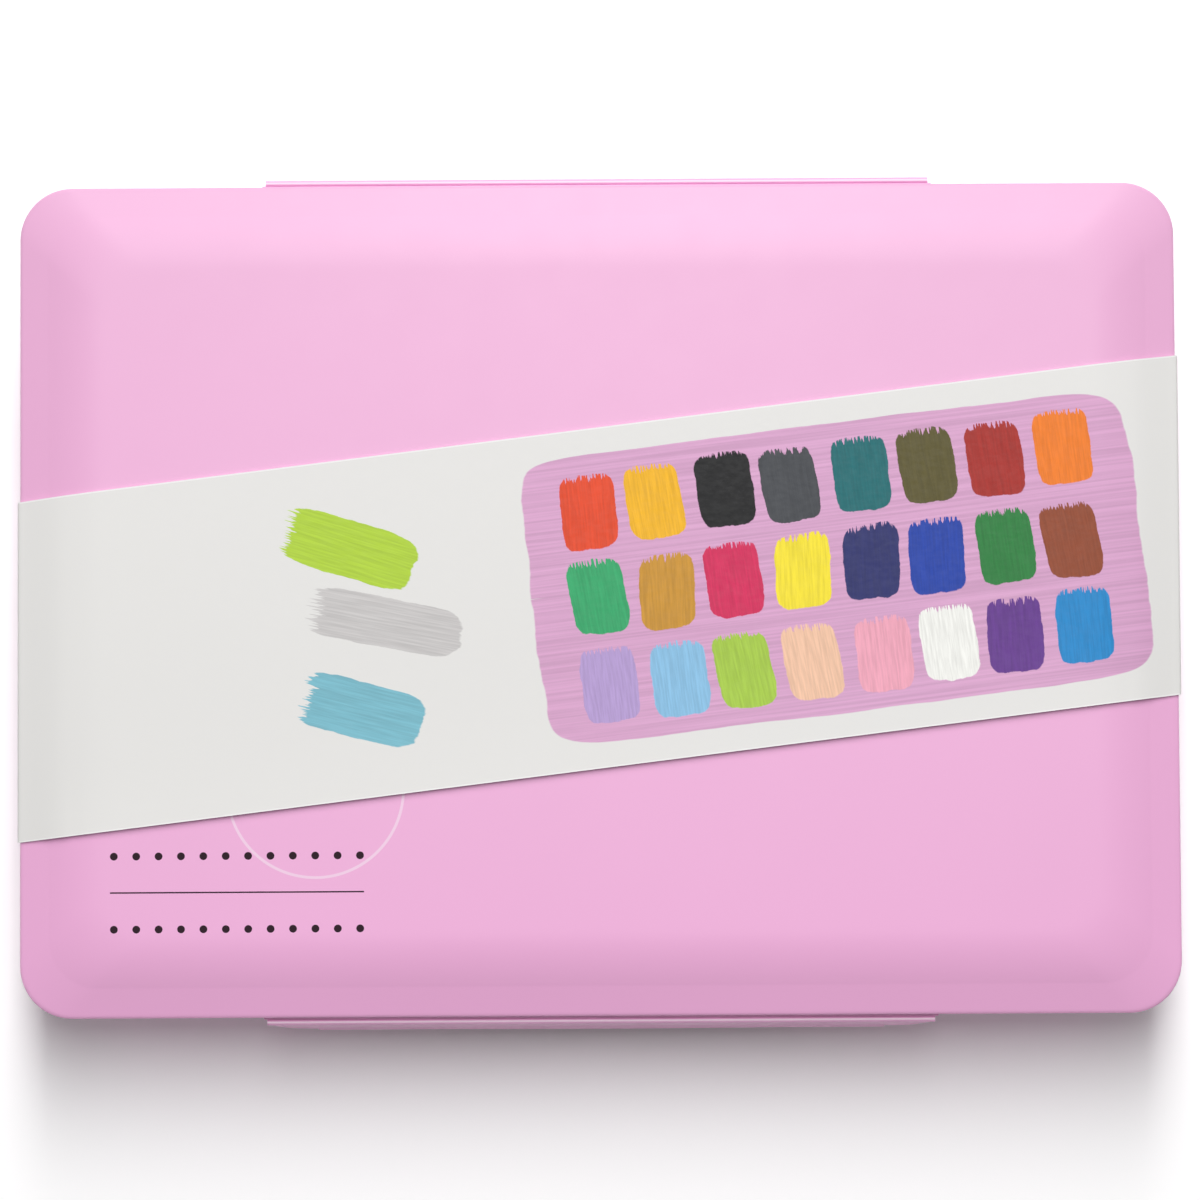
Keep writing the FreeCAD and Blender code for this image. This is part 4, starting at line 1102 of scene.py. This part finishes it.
def ferrule_stations(joint, mouth_y, mouth_z, flatten_from):
    """Stations of a ferrule from its rolled rim over two crimps to its mouth and back inside."""
    section = [(0.0, 2.72), (0.0, 3.0), (0.12, 3.14), (0.5, FERRULE_RADIUS + 0.06), (1.0, FERRULE_RADIUS)]
    for crimp in CRIMPS:
        for step in range(CRIMP_STEPS + 1):
            share = step / CRIMP_STEPS
            swell = CRIMP_PROUD * math.sin(math.pi * share) ** 2
            section.append((crimp + CRIMP_WIDTH * share, FERRULE_RADIUS + swell))
    stations = [(joint - x * MM, r * MM, r * MM) for x, r in section]
    for step in range(FLATTEN_STEPS + 1):
        share = step / FLATTEN_STEPS
        ease = share * share * (3.0 - 2.0 * share)
        x = flatten_from + (FERRULE_LENGTH - 0.25 - flatten_from) * share
        half_y = FERRULE_RADIUS + (mouth_y - FERRULE_RADIUS) * ease
        half_z = FERRULE_RADIUS + (mouth_z - FERRULE_RADIUS) * ease
        stations.append((joint - x * MM, half_y * MM, half_z * MM))
    end = joint - FERRULE_LENGTH * MM
    inner_y = (mouth_y - FERRULE_WALL) * MM
    inner_z = (mouth_z - FERRULE_WALL) * MM
    stations.append((end, (mouth_y - 0.1) * MM, (mouth_z - 0.1) * MM))
    stations.append((end, inner_y, inner_z))
    stations.append((end + 3.0 * MM, inner_y, inner_z))
    return stations


FILAMENT_SIDES = 4
FILAMENT_STEPS = 7
FILAMENT_RADIUS = 0.17
FLAT_TUFT_HALF = (4.55, 1.35)
ROUND_TUFT_RADIUS = 1.6


def filament_model():
    """One straight filament of unit length along X, tapering to its tip; returns its points and faces."""
    leave_edit_mode()
    bpy.ops.mesh.primitive_circle_add(
        vertices=FILAMENT_SIDES, radius=1.0, fill_type="NGON", rotation=(0.0, math.pi / 2.0, 0.0))
    model = named("filament_model")
    edit(model)
    thickness = 1.0
    for step in range(1, FILAMENT_STEPS + 1):
        bpy.ops.mesh.extrude_region_move(TRANSFORM_OT_translate=by(x=1.0 / FILAMENT_STEPS))
        wanted = 1.0 - 0.8 * (step / FILAMENT_STEPS) ** 3
        share = wanted / thickness
        place = (step / FILAMENT_STEPS, 0.0, 0.0)
        bpy.ops.transform.resize(value=(1.0, share, share), center_override=place)
        thickness = wanted
    make_sound(model)
    points = [point.co.copy() for point in model.data.vertices]
    faces = [tuple(face.vertices) for face in model.data.polygons]
    bpy.data.objects.remove(model)
    return points, faces


def tuft(name, centre_y, centre_z, root, tip, lines):
    """A tuft of filaments; each line gives a filament's place beside the axis from its root to its tip."""
    points, faces = filament_model()
    all_points = []
    all_faces = []
    for line, reach in lines:
        first = len(all_points)
        for point in points:
            side_y, side_z = line(point.x)
            x = root + (tip - root) * point.x * reach
            all_points.append((
                x,
                centre_y + (side_y + point.y * FILAMENT_RADIUS) * MM,
                centre_z + (side_z + point.z * FILAMENT_RADIUS) * MM,
            ))
        all_faces.extend(tuple(first + i for i in face) for face in faces)
    mesh = bpy.data.meshes.new(name)
    mesh.from_pydata(all_points, [], all_faces)
    piece = new_object(name, mesh)
    make_sound(piece)
    smooth(piece, 60.0)
    return piece


def flat_lines(count, chance):
    """Filaments of the flat brush: a slab that thins to a straight chisel edge."""
    lines = []
    for _ in range(count):
        y, z = (chance.uniform(-half, half) for half in FLAT_TUFT_HALF)
        bow = chance.uniform(-0.25, 0.25)

        def line(share, y=y, z=z, bow=bow):
            spread = 1.0 + 0.07 * math.sin(math.pi * 0.6 * share)
            return y * spread + bow * share * share, z * (1.0 + 0.12 * share - 0.92 * share * share)

        lines.append((line, chance.uniform(0.95, 1.0)))
    return lines


def round_lines(count, chance):
    """Filaments of the round brush: a belly that closes to a point."""
    lines = []
    for _ in range(count):
        angle = chance.uniform(0.0, 2.0 * math.pi)
        radius = ROUND_TUFT_RADIUS * math.sqrt(chance.random())
        reach = 1.0 - 0.16 * (radius / ROUND_TUFT_RADIUS) ** 2 * chance.random()

        def line(share, angle=angle, radius=radius):
            belly = 1.0 + 0.85 * share - 1.82 * max(0.0, share) ** 2.2
            return radius * belly * math.cos(angle), radius * belly * math.sin(angle)

        lines.append((line, reach))
    return lines


# Operators


class PAINTBOX_OT_finishes(Operator):
    """Make the node groups that the finishes share"""

    bl_idname = "paintbox.finishes"
    bl_label = "Shared finishes"

    def execute(self, context):
        make_moulded_skin()
        make_dot_row()
        make_scuffs()
        make_brush_dab()
        make_stirred_paint()
        make_fibre()
        pink_plastic(context.scene.paint_box_colours)
        return {"FINISHED"}


class PAINTBOX_OT_case(Operator):
    """Make the tub and the cup deck with rounded edges"""

    bl_idname = "paintbox.case"
    bl_label = "Tub and deck"

    def execute(self, context):
        pink = bpy.data.materials["pink_moulding"]
        for node, name, width in (("case_base", "tub", 0.5 * MM), ("cup_deck", "deck", 0.4 * MM)):
            piece = softened_copy(node, name, width, segments=3, crease=30.0)
            hang(piece, pink, "base", "pink_plastic", node)
        return {"FINISHED"}


class PAINTBOX_OT_lid(Operator):
    """Make the domed lid and the two ledges of its hinges"""

    bl_idname = "paintbox.lid"
    bl_label = "Lid"

    def execute(self, context):
        sizes = context.scene.paint_box_sizes
        shell = moulded_shell(
            "lid_shell", sizes.lid_length, sizes.lid_width, sizes.lid_corner, lid_rings(),
            corner_segments=16)
        hang(shell, lid_plastic(context.scene.paint_box_colours), "lid", "pink_plastic", "lid")
        for name, side in (("hinge_ledge_front", -1.0), ("hinge_ledge_rear", 1.0)):
            ledge = hinge_ledge(name, side, sizes.lid_width)
            hang(ledge, bpy.data.materials["pink_moulding"], "lid", "pink_plastic")
        return {"FINISHED"}


class PAINTBOX_OT_flaps(Operator):
    """Make the two snap flaps with rounded edges"""

    bl_idname = "paintbox.flaps"
    bl_label = "Snap flaps"

    def execute(self, context):
        pink = hinged_plastic(context.scene.paint_box_colours)
        for node in ("front_flap", "rear_flap"):
            flap = softened_copy(node, node + "_moulding", 0.22 * MM, segments=5, crease=16.0)
            hang(flap, pink, node, "pink_plastic", node)
        return {"FINISHED"}


class PAINTBOX_OT_band(Operator):
    """Fold the printed card band over the lid"""

    bl_idname = "paintbox.band"
    bl_label = "Card band"

    def execute(self, context):
        sizes = context.scene.paint_box_sizes
        band = card_band("folded_card", sizes)
        hang(band, printed_card(context.scene.paint_box_colours, sizes), "band", "white_card", "card_band")
        return {"FINISHED"}


class PAINTBOX_OT_cups(Operator):
    """Mould one clear cup and set a copy in each seat of the deck"""

    bl_idname = "paintbox.cups"
    bl_label = "Clear cups"

    def execute(self, context):
        sizes = context.scene.paint_box_sizes
        low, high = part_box(PAINT_NODES[0].replace("paint_", "cup_"))
        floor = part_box(PAINT_NODES[0])[0].z
        rings = cup_rings(floor / MM, low.z / MM, high.z / MM)
        model = moulded_shell(
            "cup_model", sizes.cup_length, sizes.cup_width, sizes.cup_corner, rings, corner_segments=8)
        clear = clear_plastic(context.scene.paint_box_colours)
        for paint in PAINT_NODES:
            node = paint.replace("paint_", "cup_")
            low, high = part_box(node)
            middle = (low + high) / 2.0
            cup = new_object("clear_" + node, model.data.copy())
            cup.data.transform(Matrix.Translation((middle.x, middle.y, 0.0)))
            hang(cup, clear, "base", "clear_cup", node)
        bpy.data.objects.remove(model)
        return {"FINISHED"}


class PAINTBOX_OT_paints(Operator):
    """Fill each cup with paint that was stirred or levelled"""

    bl_idname = "paintbox.paints"
    bl_label = "Paints"

    def execute(self, context):
        sizes = context.scene.paint_box_sizes
        low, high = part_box(PAINT_NODES[0])
        half_x = (high.x - low.x) / 2.0
        half_y = (high.y - low.y) / 2.0
        surface = high.z
        model = paint_body("paint_model", half_x, half_y, surface, low.z + 0.05 * MM)
        chances = random.Random(24)
        for node in paints_in_order():
            chance = {
                "seed": chances.uniform(0.0, 400.0),
                "turn": chances.uniform(0.0, 2.0 * math.pi),
                "hand": chances.choice((-1.0, 1.0)),
                "peak": chances.uniform(0.2, 1.7),
                "off_x": chances.uniform(-4.5, 4.5) * MM,
                "off_y": chances.uniform(-3.0, 3.0) * MM,
                "pitch": chances.uniform(0.8, 1.3),
                "height": chances.uniform(0.7, 1.35),
                "reach": chances.uniform(0.75, 1.1),
                "oval": chances.uniform(0.85, 1.2),
            }
            low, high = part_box(node)
            middle = (low + high) / 2.0
            fill = new_object("gouache_" + node.removeprefix("paint_"), model.data.copy())
            stir(fill, surface, half_x, half_y, chance, node not in LEVELLED_PAINTS, sizes)
            fill.data.transform(Matrix.Translation((middle.x, middle.y, 0.0)))
            smooth(fill, 50.0)
            hang(fill, gouache(node), "base", node, node)
        bpy.data.objects.remove(model)
        return {"FINISHED"}


class PAINTBOX_OT_brushes(Operator):
    """Turn the two brushes' handles, draw their ferrules and set their filaments"""

    bl_idname = "paintbox.brushes"
    bl_label = "Brushes"

    def execute(self, context):
        sizes = context.scene.paint_box_sizes
        colours = context.scene.paint_box_colours
        wood = lacquered_wood(colours)
        metal = drawn_metal(colours)
        filaments = nylon(colours)
        chance = random.Random(7)
        mouths = {"flat_brush": (5.2, 2.1, 14.0), "round_brush": (2.1, 2.1, 16.0)}
        tufts = {"flat_brush": flat_lines, "round_brush": round_lines}
        for brush, (mouth_y, mouth_z, flatten_from) in mouths.items():
            low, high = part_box(brush + "_ferrule")
            joint = high.x
            axis_y = (low.y + high.y) / 2.0
            axis_z = (low.z + high.z) / 2.0
            handle = turned_piece(brush + "_turned_handle", axis_y, axis_z, handle_stations(joint))
            hang(handle, wood, "base", "pale_wood", brush + "_handle")
            stations = ferrule_stations(joint, mouth_y, mouth_z, flatten_from)
            ferrule = turned_piece(brush + "_drawn_ferrule", axis_y, axis_z, stations, sides=40)
            hang(ferrule, metal, "base", "ferrule_metal", brush + "_ferrule")
            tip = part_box(brush + "_bristles")[0].x
            lines = tufts[brush](sizes.filament_count, chance)
            hair = tuft(brush + "_filaments", axis_y, axis_z, low.x + 1.5 * MM, tip, lines)
            hang(hair, filaments, "base", "nylon_bristle", brush + "_bristles")
        return {"FINISHED"}


FLOOR_HALF = 6.0
FLOOR_WHITE = 1.14
FLOOR_BOUNCE = 0.8
FLOOR_FADE = (0.38, 0.95)


def studio_floor():
    """A white sweep: level under the box, rising far behind it."""
    leave_edit_mode()
    bpy.ops.mesh.primitive_plane_add(size=2.0 * FLOOR_HALF)
    floor = named("studio_floor")
    edit(floor)
    select_points(floor, lambda point: point.co.y > FLOOR_HALF - MM)
    bpy.ops.mesh.extrude_edges_move(TRANSFORM_OT_translate=by(z=FLOOR_HALF))
    leave_edit_mode()
    material = bpy.data.materials.new("studio_white")
    net = Net(cleared_tree(material))
    path = net.signals(net.node("ShaderNodeLightPath"))
    seen = net.maths("MAXIMUM", path["Is Camera Ray"], path["Is Glossy Ray"])
    # Seen directly, in metal or through clear plastic
    seen = net.maths("MAXIMUM", seen, path["Is Transmission Ray"])
    level = seen.times_plus(FLOOR_WHITE - FLOOR_BOUNCE, FLOOR_BOUNCE)
    matt = net.add("ShaderNodeBsdfDiffuse", "BSDF", Color=net.combined(level, level, level))
    away = net.add("ShaderNodeVectorMath", "Value", {"operation": "LENGTH"}, Vector=net.place())
    glow = net.add("ShaderNodeEmission", "Emission", Strength=seen * away.ramp(*FLOOR_FADE))
    both = net.node("ShaderNodeAddShader")
    for socket, shader in zip(both.inputs, (matt, glow)):
        net.feed(socket, shader)
    net.node("ShaderNodeOutputMaterial", Surface=Signal(net, both.outputs["Shader"]))
    floor.data.materials.append(material)


def studio_world(level):
    """A plain white surround, seen as white and lighting the box gently."""
    world = bpy.data.worlds.new("studio_surround")
    bpy.context.scene.world = world
    net = Net(cleared_tree(world))
    strength = net.add("ShaderNodeLightPath", "Is Camera Ray").times_plus(1.0 - level, level)
    surround = net.add("ShaderNodeBackground", "Background", Strength=strength)
    net.node("ShaderNodeOutputWorld", Surface=surround)


def soft_lamp(name, power, place, target, width, height):
    """A large rectangular lamp aimed at a point."""
    lamp = bpy.data.lights.new(name, "AREA")
    lamp.shape = "RECTANGLE"
    lamp.size = width
    lamp.size_y = height
    lamp.energy = power
    holder = new_object(name, lamp)
    holder.location = place
    holder.rotation_euler = (Vector(target) - Vector(place)).to_track_quat("-Z", "Y").to_euler()
    holder.visible_camera = False


STAGE_MIDDLE = (0.0, 0.0, 45.0 * MM)
KEY_X = 0.04
KEY_DISTANCE = 2.4
KEY_LEAN = math.radians(31.0)
KEY_SIZE = (0.60, 2.50)
FOCAL_SHARE = 4034.0 / 1200.0
CAMERA_SHIFT = (0.0009, -0.0007)


def studio_camera(stage, target):
    """A camera straight above the lid, leaning a little to the front."""
    camera = bpy.data.cameras.new("studio_camera")
    camera.sensor_width = 36.0
    camera.lens = camera.sensor_width * FOCAL_SHARE
    camera.shift_x, camera.shift_y = CAMERA_SHIFT
    camera.clip_start = 0.05
    camera.clip_end = 60.0
    holder = new_object("studio_camera", camera)
    back = Vector((0.0, -math.sin(stage.camera_tilt), math.cos(stage.camera_tilt)))
    holder.location = Vector(target) + back * stage.camera_distance
    turn = Matrix.Rotation(stage.camera_tilt, 4, "X") @ Matrix.Rotation(stage.camera_roll, 4, "Z")
    holder.rotation_euler = turn.to_euler()
    bpy.context.scene.camera = holder


class PAINTBOX_OT_stage(Operator):
    """Set up the white floor, the soft light and the camera"""

    bl_idname = "paintbox.stage"
    bl_label = "Stage"

    def execute(self, context):
        stage = context.scene.paint_box_stage
        studio_floor()
        studio_world(stage.fill_level)
        height = STAGE_MIDDLE[2] + KEY_DISTANCE * math.cos(KEY_LEAN)
        place = (KEY_X, KEY_DISTANCE * math.sin(KEY_LEAN), height)
        soft_lamp("key_lamp", stage.key_power, place, STAGE_MIDDLE, *KEY_SIZE)
        studio_camera(stage, STAGE_MIDDLE)
        context.scene.view_settings.view_transform = "Standard"
        return {"FINISHED"}


class PAINTBOX_PT_panel(Panel):
    """Lists the paint box's sizes, colours and steps in the sidebar"""

    bl_idname = "PAINTBOX_PT_panel"
    bl_label = "Gouache paint box"
    bl_space_type = "VIEW_3D"
    bl_region_type = "UI"
    bl_category = "Paint box"

    def draw(self, context):
        for group in GROUPS:
            settings = getattr(context.scene, group)
            box = self.layout.box()
            for name in settings.__annotations__:
                box.prop(settings, name)
        for step in STEPS:
            self.layout.operator(step.bl_idname)


GROUPS = {
    "paint_box_sizes": PaintBoxSizes,
    "paint_box_colours": PaintBoxColours,
    "paint_box_stage": PaintBoxStage,
}
STEPS = (
    PAINTBOX_OT_finishes, PAINTBOX_OT_case, PAINTBOX_OT_lid, PAINTBOX_OT_flaps, PAINTBOX_OT_band,
    PAINTBOX_OT_cups, PAINTBOX_OT_paints, PAINTBOX_OT_brushes, PAINTBOX_OT_stage,
)
CLASSES = (*GROUPS.values(), *STEPS, PAINTBOX_PT_panel)


def register():
    """Registers the add-on's classes and hangs its settings on the scene."""
    for kind in CLASSES:
        bpy.utils.register_class(kind)
    for name, kind in GROUPS.items():
        setattr(bpy.types.Scene, name, PointerProperty(type=kind))


def unregister():
    """Takes the settings and classes away again."""
    for name in GROUPS:
        delattr(bpy.types.Scene, name)
    for kind in reversed(CLASSES):
        bpy.utils.unregister_class(kind)


def main():
    register()
    leave_edit_mode()
    for step in STEPS:
        getattr(bpy.ops.paintbox, step.bl_idname.split(".")[1])()


if __name__ == "__main__":
    main()
